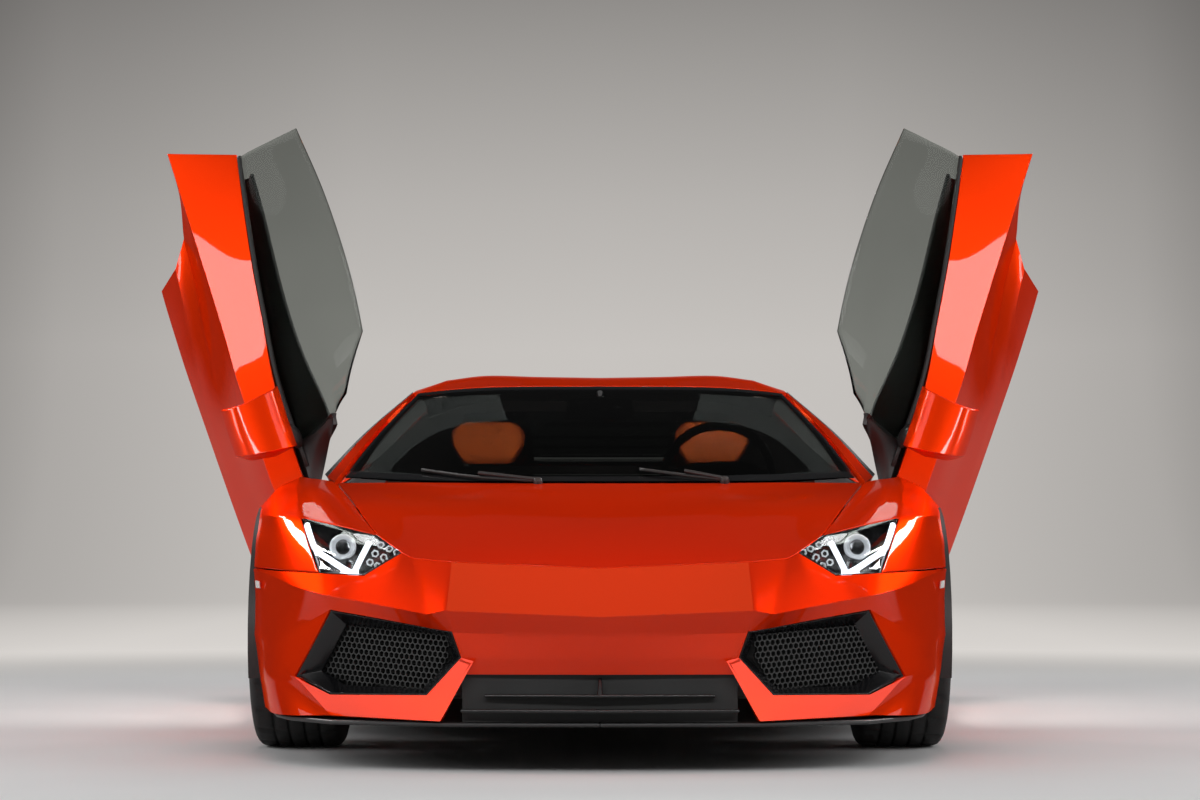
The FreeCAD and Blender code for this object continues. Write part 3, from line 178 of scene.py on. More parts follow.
CARPET = surface("carpet", (0.01, 0.01, 0.01), (0.02, 0.02, 0.02), rough=(0.95, 0.95), scale=700,
                 bump=0.6, depth=0.001)
LIGHT_GUIDE = glow_material("light_guide", (0.85, 0.9, 1.0), 1.6)
TAIL_GUIDE = glow_material("tail_light_guide", (0.8, 0.02, 0.01), 0.5)
# The lamp's reflector cups and projector ring glow faintly: painted reflection, standing in for
# the bright glints of their metal.
REFLECTOR_PAINTED_GLOW = glow_material("lamp_reflector", (0.62, 0.64, 0.66), 0.32)
MARKER = surface("side_marker", (0.75, 0.74, 0.72), rough=(0.2, 0.3), scale=60)
MIRROR_GLASS = surface("mirror_glass", (0.75, 0.77, 0.78), rough=(0.02, 0.04), metal=1.0, scale=5)

# Slot of each material; add() looks up a piece's slot from its material, unless it names another
# one, but does not store it.
SLOTS = {"body_paint": [PAINT], "black_gloss": [GLOSS, CALIPER],
         "black_matte": [SATIN, SEAL, CARPET], "leather": [LEATHER, DARK_LEATHER, TRIM],
         "carbon": [CARBON], "glass": [GLASS, SCREEN, MIRROR_GLASS],
         "lamp_glass": [CLEAR, LIGHT_GUIDE, MARKER], "lamp_red": [RED_LENS, TAIL_GUIDE],
         "aluminium": [REFLECTOR_PAINTED_GLOW, ALUMINIUM, CHROME, DISC], "steel": [STEEL],
         "tyre": [RUBBER], "rim": [ALLOY]}
SLOT_OF = {look.name: slot for slot, looks in SLOTS.items() for look in looks}


# ---------------------------------------------------------------- lines and sheets
def curve_point(line, index, share):
    """Point of the Catmull-Rom curve through line, share of the way after index."""
    last = len(line) - 1
    p1, p2 = line[index], line[index + 1]
    p0 = line[index - 1] if index > 0 else tuple(2 * a - b for a, b in zip(p1, p2))
    p3 = line[index + 2] if index + 2 <= last else tuple(2 * b - a for a, b in zip(p1, p2))
    s, s2, s3 = share, share ** 2, share ** 3
    return tuple(
        0.5 * (2 * b + (c - a) * s + (2 * a - 5 * b + 4 * c - d) * s2
               + (3 * b - a - 3 * c + d) * s3)
        for a, b, c, d in zip(p0, p1, p2, p3))


STEPS = 6


def smooth(points, steps, breaks=()):
    """Fine line through points, straight on either side of the corners in breaks."""
    cuts = [0] + sorted(b for b in breaks if 0 < b < len(points) - 1) + [len(points) - 1]
    fine = []
    for start, end in zip(cuts, cuts[1:]):
        piece = points[start:end + 1]
        fine += [curve_point(piece, i, k / steps)
                 for i in range(len(piece) - 1) for k in range(steps)]
    return fine + [points[-1]]


def line(*points, breaks=()):
    return smooth([tuple(p) for p in points], STEPS, breaks)


def part(fine, first, last):
    """The stretch of a fine line between two of the points that it was made through."""
    return fine[first * STEPS:last * STEPS + 1]


def patch(rows, breaks=(), edge_breaks=()):
    """Fine grid through fine rows; breaks are sharp rows, edge_breaks only at the last column."""
    columns = [list(column) for column in zip(*rows)]
    fine = [smooth(column, STEPS, breaks) for column in columns[:-1]]
    fine.append(smooth(columns[-1], STEPS, set(breaks) | set(edge_breaks)))
    return [list(row) for row in zip(*fine)]


def sheet(rows, across=(), **sharp):
    """Fine grid through rows of points; across are the sharp corners within every row."""
    return patch([line(*row, breaks=across) for row in rows], **sharp)


def towards(point, middle, share, back=0):
    """point moved towards middle by share of its distance, and rearwards by back."""
    x, y, z = (a + (b - a) * share for a, b in zip(point, middle))
    return (x, y + back, z)


def mirrored(rows):
    return [[(-x, y, z) for x, y, z in row] for row in rows]


def moved(rows, dy, dz):
    return [[(x, y + dy, z + dz) for x, y, z in row] for row in rows]


def sided(rows, side):
    return rows if side > 0 else mirrored(rows)


def line_on(points, side):
    return sided([points], side)[0]


def both_sides(patches):
    return patches + [mirrored(rows) for rows in patches]


def body_middle(point):
    return Vector((0, max(-1.7, min(1.9, point.y)), 0.48))


def sheet_mesh(patches, inside=body_middle):
    """bmesh, in metres, of welded patches whose faces face away from inside."""
    bm = bmesh.new()
    for rows in patches:
        grid = [[bm.verts.new(Vector(point) * MM) for point in row] for row in rows]
        for low, high in zip(grid, grid[1:]):
            for k in range(len(low) - 1):
                bm.faces.new((low[k], low[k + 1], high[k + 1], high[k]))
    bmesh.ops.remove_doubles(bm, verts=bm.verts, dist=0.0006)
    bmesh.ops.dissolve_degenerate(bm, edges=bm.edges, dist=0.0002)
    bmesh.ops.recalc_face_normals(bm, faces=bm.faces)
    outward = 0
    for face in bm.faces:
        middle = face.calc_center_median()
        outward += face.normal.dot((middle - inside(middle)).normalized()) * face.calc_area()
    if outward < 0:
        bmesh.ops.reverse_faces(bm, faces=bm.faces)
    return bm


def draw_in(bm, gap):
    """Moves the rim of a sheet inwards by gap, so a shut line stays open."""
    pull = {}
    for edge in bm.edges:
        if edge.is_boundary:
            face = edge.link_faces[0]
            along = edge.verts[1].co - edge.verts[0].co
            inward = face.normal.cross(along).normalized()
            if inward.dot(face.calc_center_median() - edge.verts[0].co) < 0:
                inward.negate()
            for vert in edge.verts:
                pull.setdefault(vert, []).append(inward)
    for vert, ways in pull.items():
        way = sum(ways, Vector()).normalized()
        vert.co += way * gap / max(0.5, way.dot(ways[0]))


def add(bm, name, material, body="body", *nodes, slot=None, flat=False):
    """Object of bm that rides on body and stands for the CAD nodes."""
    mesh = bpy.data.meshes.new(name)
    bm.to_mesh(mesh)
    bm.free()
    mesh.materials.append(material)
    mesh.shade_flat() if flat else mesh.shade_smooth()
    obj = bpy.data.objects.new(name, mesh)
    bpy.context.collection.objects.link(obj)
    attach(obj, body)
    if nodes:
        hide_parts(*nodes)
    slot = slot or SLOT_OF[material.name]
    return obj


def rounded(obj, width=0.002, angle=28):
    """Rolled edges, and shading that keeps the faces beside them flat."""
    if width:
        bevel = obj.modifiers.new("rolled edges", "BEVEL")
        bevel.width = width
        bevel.segments = 3
        bevel.limit_method = "ANGLE"
        bevel.angle_limit = math.radians(angle)
    obj.modifiers.new("flat faces", "WEIGHTED_NORMAL").keep_sharp = True
    return obj


def skin(name, patches, body="body", nodes=(), material=PAINT, thick=0.006, gap=0.0022,
         inside=body_middle, roll=0.0032, opening=None):
    """A panel: sheet, drawn in from its shut lines, thickened and with rolled edges."""
    bm = sheet_mesh(patches, inside)
    if opening:
        within = [f for f in bm.faces if opening(f.calc_center_median() / MM)]
        bmesh.ops.delete(bm, geom=within, context="FACES")
    draw_in(bm, gap)
    obj = add(bm, name, material, body, *nodes)
    solid = obj.modifiers.new("thickness", "SOLIDIFY")
    solid.thickness = thick
    solid.offset = -1
    return rounded(obj, roll, 24)


def lining(name, patches, material, thick=0.004, inside=body_middle):
    """A thin trim sheet on the body that meets its neighbours, with plain edges."""
    return skin(name, patches, "body", (), material, thick, 0, inside, 0)


def solid_rings(rings, closed_ends=True):
    """bmesh through rings of equally many points given in millimetres."""
    bm = bmesh.new()
    loops = [[bm.verts.new(Vector(point) * MM) for point in ring] for ring in rings]
    for low, high in zip(loops, loops[1:]):
        size = len(low)
        for k in range(size):
            bm.faces.new((low[k], low[(k + 1) % size], high[(k + 1) % size], high[k]))
    if closed_ends:
        bm.faces.new(loops[0][::-1])
        bm.faces.new(loops[-1])
    bmesh.ops.recalc_face_normals(bm, faces=bm.faces)
    return bm


def extrude_outline(points, offset):
    """bmesh of a flat outline, in millimetres, drawn out by offset."""
    shift = Vector(offset)
    return solid_rings([points, [tuple(Vector(p) + shift) for p in points]])


def box_mesh(low, high):
    (x0, y0, z0), (x1, y1, z1) = low, high
    ring = [(x0, y0, z0), (x1, y0, z0), (x1, y1, z0), (x0, y1, z0)]
    return solid_rings([ring, [(x, y, z1) for x, y, z in ring]])


def joined(*meshes):
    """One bmesh of several."""
    whole = bmesh.new()
    for bm in meshes:
        mesh = bpy.data.meshes.new("piece")
        bm.to_mesh(mesh)
        bm.free()
        whole.from_mesh(mesh)
        bpy.data.meshes.remove(mesh)
    return whole


def tube(points, radius, sides=10, closed=False):
    """bmesh of a round bar of points in millimetres."""
    rings, count = [], len(points)
    up = Vector((0, 0, 1))
    for i, point in enumerate(points):
        before = points[(i - 1) % count] if closed or i else points[0]
        after = points[(i + 1) % count] if closed or i < count - 1 else points[-1]
        along = (Vector(after) - Vector(before)).normalized()
        side = along.cross(up if abs(along.z) < 0.9 else Vector((1, 0, 0))).normalized()
        top = side.cross(along)
        rings.append([tuple(Vector(point) + (side * math.cos(a) + top * math.sin(a)) * radius)
                      for a in (math.tau * k / sides for k in range(sides))])
    if closed:
        rings.append(rings[0])
    bm = solid_rings(rings, closed_ends=not closed)
    if closed:
        bmesh.ops.remove_doubles(bm, verts=bm.verts, dist=0.0001)
    return bm


def revolved(profile, axis_point, axis, turns=96):
    """bmesh of (radius, along) corners turned about an axis, in millimetres."""
    axis = Vector(axis).normalized()
    start = axis.orthogonal().normalized()
    rings = []
    for k in range(turns + 1):
        way = Matrix.Rotation(math.tau * (k % turns) / turns, 3, axis) @ start
        rings.append([tuple(Vector(axis_point) + way * r + axis * along) for r, along in profile])
    bm = solid_rings(rings, closed_ends=False)
    bmesh.ops.remove_doubles(bm, verts=bm.verts, dist=0.00005)
    bmesh.ops.recalc_face_normals(bm, faces=bm.faces)
    return bm


# ---------------------------------------------------------------- body lines
# Every point is (x, y, z) in millimetres on the left half, with the doors shut.
NOSE_CREASE = line((0, -2390, 392), (340, -2356, 405), (391, -2350, 408), (440, -2330, 398),
                   (566, -2220, 419), (649, -2150, 433), (733, -2080, 447), (836, -1880, 471),
                   (962, -1568, 511), breaks=(2, 3))
LAMP_A, LAMP_B, LAMP_C = (820, -1660, 650), (602, -1780, 601), (526, -1960, 554)
LAMP_D, LAMP_E = (621, -2030, 494), (745, -1960, 500)
NOSE_TOP = line((0, -2095, 513), (340, -2065, 527), (391, -2060, 530), (494, -1994, 538), LAMP_C,
                LAMP_D, LAMP_E, (860, -1790, 505), (962, -1568, 511), breaks=(2, 3, 4, 5, 6))
FRONT_AXLE_Y, REAR_AXLE_Y = -1260, 1440


def arch_point(axle_y, axle_z, radius, degrees, x):
    """A point of a wheel arch; 0 degrees is level with the axle on its front side."""
    angle = math.radians(degrees)
    return (x, axle_y - radius * math.cos(angle), axle_z + radius * math.sin(angle))


def front_arch(degrees, x):
    return arch_point(FRONT_AXLE_Y, 330, 352, degrees, x)


def rear_arch(degrees, x):
    return arch_point(REAR_AXLE_Y, 354, 402, degrees, x)


# ---------------------------------------------------------------- bonnet
BONNET = sheet([
    [(0, -2095, 513), (391, -2060, 530), (494, -1994, 538), (526, -1960, 554)],
    [(0, -1930, 563), (374, -1910, 573), (498, -1870, 573), (602, -1780, 601)],
    [(0, -1680, 629), (348, -1660, 635), (512, -1620, 633), (661, -1500, 650)],
    [(0, -1400, 690), (340, -1400, 692), (520, -1400, 682), (711, -1260, 697)],
    [(0, -1220, 727), (328, -1200, 727), (541, -1170, 722), (765, -1000, 742)],
    [(0, -1065, 757), (318, -1045, 758), (560, -975, 762), (788, -885, 762)],
], across=(1, 2))
skin("bonnet_skin", both_sides([BONNET]), "bonnet", ["bonnet"])

# ---------------------------------------------------------------- front bumper
P1, P2, P3 = (704, -2095, 403), (377, -2315, 352), (354, -2310, 288)
P4, P5, P6 = (441, -2295, 194), (699, -2130, 188), (800, -2035, 230)
FIN_TIP, FIN_FOOT, FIN_ROOT = (319, -2350, 280), (405, -2335, 126), (345, -2308, 243)
LIP_CORNER = (692, -2176, 133)
FASCIA = patch([
    part(NOSE_CREASE, 0, 2),
    line((0, -2362, 345), (335, -2322, 350), P2),
    line((0, -2345, 288), (300, -2322, 288), P3),
    line((0, -2325, 243), (325, -2312, 243), FIN_ROOT),
], breaks=(1, 2))
INTAKE_BROW = patch([
    part(NOSE_CREASE, 2, 6),
    line(P2, (430, -2280, 360), (540, -2210, 378), (625, -2150, 391), P1),
])
LIP = sheet([[P3, P4, P5, P6], [FIN_TIP, FIN_FOOT, LIP_CORNER, P6]], across=(1, 2))
FIN_TOP = sheet([[P3, P3], [FIN_ROOT, FIN_TIP]])
FIN_FLANK = sheet([[FIN_TIP, FIN_FOOT], [FIN_ROOT, (400, -2296, 126)]])
CHEEK = patch([
    part(NOSE_CREASE, 6, 8),
    line(P1, (870, -1850, 330), front_arch(0, 955)),
    line(P6, (893, -1850, 230), front_arch(-17, 942)),
    line(LIP_CORNER, (850, -1960, 124), front_arch(-36, 930)),
], breaks=(1, 2))
NOSE_TOP_BAND = patch([NOSE_TOP, NOSE_CREASE])
skin("nose_skin", both_sides([NOSE_TOP_BAND, FASCIA, INTAKE_BROW, LIP, FIN_TOP, FIN_FLANK, CHEEK]),
     "body", ["front_bumper"], roll=0.007)

# ---------------------------------------------------------------- front fenders
FENDER_REAR = {"top": (888, -856, 776), "shoulder": (962, -858, 725), "high": (984, -866, 620),
               "mid": (990, -876, 545), "low": (992, -857, 450), "foot": (994, -780, 350)}
FENDER_LAMP_LINE = line(LAMP_B, (711, -1720, 628), LAMP_A, (900, -1590, 655), front_arch(67, 968),
                        breaks=(2,))
FENDER_NOSE = patch([
    part(NOSE_TOP, 6, 8),
    line((785, -1810, 575), (876, -1690, 590), front_arch(48, 966)),
    part(FENDER_LAMP_LINE, 2, 4),
])
FENDER_TOP = patch([
    FENDER_LAMP_LINE,
    line((661, -1500, 650), (755, -1490, 685), (848, -1480, 705), (918, -1440, 695),
         front_arch(78, 972), breaks=(2,)),
    line((711, -1260, 697), (800, -1260, 735), (868, -1260, 748), (930, -1260, 733),
         front_arch(90, 976), breaks=(2,)),
    line((765, -1000, 742), (830, -1010, 764), (888, -1000, 777), (955, -1050, 735),
         front_arch(120, 984), breaks=(2,)),
    line((797, -856, 766), (845, -856, 774), FENDER_REAR["top"], FENDER_REAR["shoulder"],
         FENDER_REAR["high"], breaks=(2,)),
], edge_breaks=(3,))
FENDER_HEEL = sheet([
    [front_arch(120, 984), FENDER_REAR["high"]],
    [front_arch(142, 990), FENDER_REAR["mid"]],
    [front_arch(160, 993), FENDER_REAR["low"]],
    [front_arch(176, 994), FENDER_REAR["foot"]],
    [front_arch(190, 994), (998, -735, 290)],
    [front_arch(207, 990), (1000, -712, 190)],
])
for side, name in SIDES:
    skin("front_fender_skin_" + name,
         [sided(rows, side) for rows in (FENDER_NOSE, FENDER_TOP, FENDER_HEEL)], "body",
         ["front_fender_" + name])

# ---------------------------------------------------------------- windscreen and roof
WINDSCREEN = sheet([
    [(0, -1050, 762), (318, -1028, 763), (560, -950, 768), (774, -796, 782)],
    [(0, -655, 935), (290, -640, 935), (500, -590, 932), (690, -510, 922)],
    [(0, -262, 1083), (250, -258, 1082), (430, -250, 1076), (583, -235, 1062)],
])
skin("windscreen_pane", both_sides([WINDSCREEN]), "body", ["windscreen"], SCREEN, 0.005, roll=0)
ROOF = sheet([
    [(0, -256, 1087), (200, -254, 1087), (374, -248, 1084), (500, -240, 1076), (603, -226, 1066)],
    [(0, -100, 1117), (200, -100, 1120), (374, -100, 1122), (500, -100, 1110), (602, -100, 1078)],
    [(0, 60, 1129), (200, 60, 1132), (374, 60, 1136), (500, 60, 1119), (600, 60, 1084)],
    [(0, 280, 1127), (200, 280, 1129), (374, 280, 1131), (500, 280, 1114), (599, 280, 1080)],
    [(0, 450, 1116), (200, 450, 1117), (374, 450, 1117), (500, 450, 1098), (600, 450, 1062)],
    [(0, 565, 1103), (200, 565, 1103), (374, 565, 1102), (500, 565, 1082), (604, 565, 1042)],
], across=(3,))
PILLAR = sheet([
    [(797, -862, 766), (826, -800, 780), (838, -735, 790)],
    [(706, -520, 920), (724, -500, 930), (736, -478, 926)],
    [(597, -236, 1064), (600, -233, 1066), (603, -226, 1066)],
], across=(1,))
skin("roof_skin", both_sides([ROOF]), "body", ["roof_frame"], thick=0.02)
for side, name in SIDES:
    skin("pillar_skin_" + name, [sided(PILLAR, side)], thick=0.02, gap=0.0008)
    seal_rows = [[towards(row[-1], row[len(row) // 2], share) for share in (-0.05, 0.4, 0.85)]
                 for row in PILLAR]
    skin("pillar_seal_" + name, [sided(moved(seal_rows, 0, 2), side)], material=SEAL,
         thick=0.004, gap=0, roll=0.001)

# ---------------------------------------------------------------- rear quarters
SHOULDER = [(953, 670, 757), (975, 900, 770), (1000, 1200, 775), (1012, 1440, 764),
            (1000, 1800, 770), (955, 2080, 775)]
QUARTER_TOP = sheet([
    [(604, 575, 1042), (700, 590, 945), (778, 600, 868), (900, 640, 800), SHOULDER[0]],
    [(560, 900, 1010), (650, 900, 935), (760, 900, 878), (910, 900, 820), SHOULDER[1]],
    [(530, 1200, 955), (630, 1200, 925), (780, 1200, 893), (925, 1200, 848), SHOULDER[2]],
    [(520, 1440, 925), (640, 1440, 912), (800, 1440, 896), (935, 1440, 852), SHOULDER[3]],
    [(520, 1800, 905), (640, 1800, 902), (790, 1800, 890), (915, 1800, 850), SHOULDER[4]],
    [(530, 2290, 893), (640, 2280, 890), (770, 2240, 878), (880, 2170, 840), SHOULDER[5]],
], across=(1, 2), edge_breaks=(1, 2, 3, 4))
QUARTER_FRONT = sheet([
    [rear_arch(88, 1014), SHOULDER[3]],
    [rear_arch(60, 1014), SHOULDER[2]],
    [rear_arch(35, 1012), SHOULDER[1]],
    [rear_arch(12, 1010), (985, 800, 600)],
    [rear_arch(-12, 1006), (1000, 740, 330)],
    [rear_arch(-26, 1002), (1003, 740, 190)],
], edge_breaks=(1, 2, 3))
QUARTER_BROW = sheet([[SHOULDER[0], (948, 650, 700)], [SHOULDER[1], (985, 800, 600)]])
QUARTER_REAR = sheet([
    [rear_arch(92, 1014), SHOULDER[3]],
    [rear_arch(125, 1012), SHOULDER[4]],
    [rear_arch(150, 1006), SHOULDER[5]],
    [rear_arch(170, 1002), (962, 2180, 560)],
    [rear_arch(185, 998), (960, 2190, 400)],
    [rear_arch(200, 990), (950, 2170, 250)],
], edge_breaks=(1, 2))
for side, name in SIDES:
    skin("rear_quarter_skin_" + name,
         [sided(rows, side) for rows in (QUARTER_TOP, QUARTER_FRONT, QUARTER_BROW, QUARTER_REAR)],
         "body", ["rear_quarter_" + name])

# ---------------------------------------------------------------- engine cover and tail
ENGINE_COVER = sheet([
    [(0, 575, 1100), (250, 575, 1099), (430, 575, 1088), (588, 578, 1045)],
    [(0, 900, 1035), (250, 900, 1035), (430, 900, 1028), (556, 900, 1008)],
    [(0, 1200, 975), (250, 1200, 975), (430, 1200, 968), (526, 1200, 953)],
    [(0, 1440, 940), (250, 1440, 940), (430, 1440, 933), (516, 1440, 923)],
    [(0, 1800, 905), (250, 1800, 905), (430, 1800, 903), (516, 1800, 903)],
    [(0, 2050, 890), (250, 2050, 890), (430, 2050, 890), (523, 2050, 896)],
])
# Half width, front and rear of the opening for the slats.
VENT_HALF, VENT_FRONT, VENT_REAR = 250, 683, 1800
skin("engine_cover_skin", both_sides([ENGINE_COVER]), "engine_cover", ["engine_cover"],
     opening=lambda p: abs(p.x) < VENT_HALF and VENT_FRONT < p.y < VENT_REAR)
WING = sheet([
    [(0, 2062, 890), (300, 2062, 890), (522, 2062, 894)],
    [(0, 2200, 896), (300, 2200, 896), (525, 2190, 897)],
    [(0, 2330, 900), (300, 2326, 900), (528, 2288, 894)],
])
skin("rear_wing_skin", both_sides([WING]), "rear_wing", ["rear_wing"], thick=0.014)
TAIL = sheet([
    [(0, 2334, 870), (300, 2330, 870), (530, 2292, 868), (640, 2282, 866), (770, 2242, 856),
     (880, 2172, 828), (944, 2100, 770)],
    [(0, 2360, 790), (300, 2354, 790), (530, 2325, 790), (640, 2306, 788), (770, 2262, 780),
     (880, 2205, 760), (947, 2136, 716)],
    [(0, 2385, 620), (300, 2378, 620), (530, 2350, 620), (640, 2330, 620), (780, 2280, 615),
     (890, 2230, 605), (948, 2200, 562)],
    [(0, 2390, 440), (300, 2384, 440), (530, 2358, 440), (640, 2336, 440), (780, 2286, 430),
     (890, 2240, 410), (946, 2210, 400)],
])
skin("tail_panel", both_sides([TAIL]), "body", ["rear_bumper"], SATIN)

# ---------------------------------------------------------------- sills
SILL = sheet([
    [(1000, -700, 226), (1006, -125, 230), (1006, 120, 244), (1004, 345, 284), (1000, 735, 325)],
    [(1004, -700, 180), (1010, -125, 180), (1010, 120, 180), (1008, 345, 185), (1003, 735, 190)],
    [(970, -700, 122), (975, -125, 122), (975, 120, 122), (974, 345, 122), (970, 735, 122)],
], breaks=(1,))
for side, name in SIDES:
    skin("sill_skin_" + name, [sided(SILL, side)], "body", ["sills"] if side > 0 else [])

# ---------------------------------------------------------------- doors
DOOR = sheet([
    [(888, -838, 776), (889, -400, 790), (881, -139, 805), (856, 61, 830), (828, 259, 845),
     (783, 500, 858), (769, 570, 862)],
    [(962, -842, 725), (976, -400, 738), (973, -92, 742), (965, 61, 745), (959, 212, 745),
     (950, 503, 746), (947, 658, 752)],
    [(984, -850, 620), (986, -400, 640), (982, -92, 650), (968, 110, 665), (955, 280, 670),
     (944, 440, 675), (938, 540, 680)],
    [(991, -858, 490), (993, -400, 480), (988, -92, 470), (965, 110, 480), (945, 250, 485),
     (932, 370, 482), (925, 450, 480)],
    [(995, -760, 345), (1002, -400, 322), (1003, -125, 335), (996, 70, 375), (986, 190, 400),
     (978, 300, 425), (974, 372, 442)],
    [(1000, -700, 240), (1006, -400, 240), (1008, -125, 245), (1010, 70, 256), (1010, 180, 268),
     (1010, 280, 285), (1009, 345, 298)],
], breaks=(1, 3, 4))
DOOR_GLASS = sheet([
    [(872, -330, 770), (864, -139, 776), (844, 61, 800), (816, 259, 815), (784, 480, 828),
     (776, 540, 832)],
    [(862, -322, 806), (856, -139, 812), (836, 61, 838), (806, 259, 852), (770, 490, 866),
     (758, 560, 872)],
    [(765, -291, 925), (748, -132, 940), (728, 42, 962), (706, 218, 968), (686, 424, 968),
     (684, 560, 958)],
    [(668, -262, 1042), (645, -126, 1072), (625, 23, 1083), (614, 177, 1083), (609, 355, 1068),
     (616, 556, 1042)],
])
DOOR_OPEN = math.radians(85.7)
# The left door's hinge in metres, and the way its pin points.
HINGE_X, HINGE_Y, HINGE_Z = 0.900, -0.630, 0.545
PIN_X, PIN_Y, PIN_Z = 0.946, 0.018, -0.325


def raised(obj, side):
    """Turns a piece written with the door shut up about the door's hinge."""
    centre = Vector((side * HINGE_X, HINGE_Y, HINGE_Z))
    axis = Vector((PIN_X, side * PIN_Y, side * PIN_Z)).normalized()
    turn = Matrix.Rotation(DOOR_OPEN, 4, axis)
    obj.data.transform(Matrix.Translation(centre) @ turn @ Matrix.Translation(-centre))
    return obj


# The pane's upper front corner stands out: how far, above which height, and near which station.
CORNER_OUT, CORNER_LOW, CORNER_RISE, CORNER_Y, CORNER_REACH = 78, 925, 117, -262, 160


def cornered(x, y, z):
    share = max(0, (z - CORNER_LOW) / CORNER_RISE) * max(0, 1 - (y - CORNER_Y) / CORNER_REACH)
    return (x + CORNER_OUT * share, y, z)


pane_rows = [[cornered(*point) for point in row] for row in DOOR_GLASS]
for side, name in SIDES:
    door = "door_" + name
    raised(skin("door_skin_" + name, [sided(DOOR, side)], door, [door], thick=0.012), side)
    pane = skin("door_window_" + name, [sided(pane_rows, side)], door, ["door_glass_" + name],
                GLASS, 0.005, roll=0)
    raised(pane, side)

# ---------------------------------------------------------------- front intakes
INTAKE = [P1, P2, P3, P4, P5, P6]


def middle_of(points):
    return tuple(sum(values) / len(points) for values in zip(*points))


def behind(point):
    """The point a metre behind, from which a forward-facing sheet faces away."""
    return point + Vector((0, 1, 0))


def honeycomb(outline, pitch, wall, depth):
    """bmesh of a hexagonal mesh that fills a flat outline, in millimetres."""
    centre = Vector(middle_of(outline))
    along = (Vector(outline[0]) - Vector(outline[1])).normalized()
    normal = along.cross(Vector((0, 0, 1))).normalized()
    up = normal.cross(along).normalized()
    if up.z < 0:
        up.negate()
    flat = [((Vector(p) - centre).dot(along), (Vector(p) - centre).dot(up)) for p in outline]
    bm = bmesh.new()
    radius = pitch / math.sqrt(3)
    reach = int(max(math.hypot(u, v) for u, v in flat) / pitch) + 2
    for i in range(-reach, reach + 1):
        for j in range(-2 * reach, 2 * reach + 1):
            u, v = pitch * (i + 0.5 * (j % 2)), pitch * j * math.sqrt(3) / 2
            if not inside_outline(u, v, flat):
                continue
            rings = []
            for r, d in ((radius, 0), (radius - wall, 0), (radius - wall, depth),
                         (radius, depth)):
                rings.append([bm.verts.new((centre + along * (u + r * math.sin(a))
                                            + up * (v + r * math.cos(a)) + normal * d) * MM)
                              for a in (math.tau * k / 6 for k in range(6))])
            for low, high in zip(rings, rings[1:]):
                for k in range(6):
                    bm.faces.new((low[k], low[(k + 1) % 6], high[(k + 1) % 6], high[k]))
    bmesh.ops.recalc_face_normals(bm, faces=bm.faces)
    return bm


def inside_outline(u, v, outline):
    inside = False
    for (u0, v0), (u1, v1) in zip(outline, outline[1:] + outline[:1]):
        if (v0 > v) != (v1 > v) and u < (u1 - u0) * (v - v0) / (v1 - v0) + u0:
            inside = not inside
    return inside


intake_middle = middle_of(INTAKE)
# How far the mesh's corners stand in from the intake's, and the depth of the frame's steps.
GRILLE_SHARES = [0.30, 0.10, 0.10, 0.12, 0.25, 0.30]
frame_rings = [[towards(p, intake_middle, share * along, back)
                for p, share in zip(INTAKE + INTAKE[:1], GRILLE_SHARES + GRILLE_SHARES[:1])]
               for along, back in ((0.06, 3), (0.24, 9), (0.94, 46), (1.0, 50), (1.04, 112))]
for side, name in SIDES:
    skin("intake_frame_" + name, [sided(frame_rings, side)], material=GLOSS, thick=0.003,
         gap=0, inside=behind, roll=0.0015)
    mesh_outline = [towards(p, intake_middle, share * 0.96, 64)
                    for p, share in zip(INTAKE, GRILLE_SHARES)]
    grille = honeycomb(line_on(mesh_outline, side), 16.5, 1.9, 14)
    add(grille, "intake_mesh_" + name, SEAL, flat=True)
    backing = [towards(p, intake_middle, 0.10, 100) for p in INTAKE]
    back = extrude_outline(line_on(backing, side), (0, 6, 0))
    add(back, "intake_duct_" + name, SEAL, flat=True)
    if side > 0:
        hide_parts("front_grilles")

# ---------------------------------------------------------------- headlamps
LAMP = [LAMP_A, LAMP_B, LAMP_C, LAMP_D, LAMP_E]
lamp_middle = middle_of(LAMP)


def lamp_place(x, z, back):
    """A point of the lamp's face seen from ahead at x, z, set back into the housing."""
    return (x, 0.4215 * x + 1.834 * z - 3197.7 + back, z)


def guide_bar(radius, *places):
    return tube(smooth([lamp_place(*place) for place in places], 3), radius, 8)


def facing(profile, place, turns):
    return revolved(profile, place, (0, 1, 0), turns)


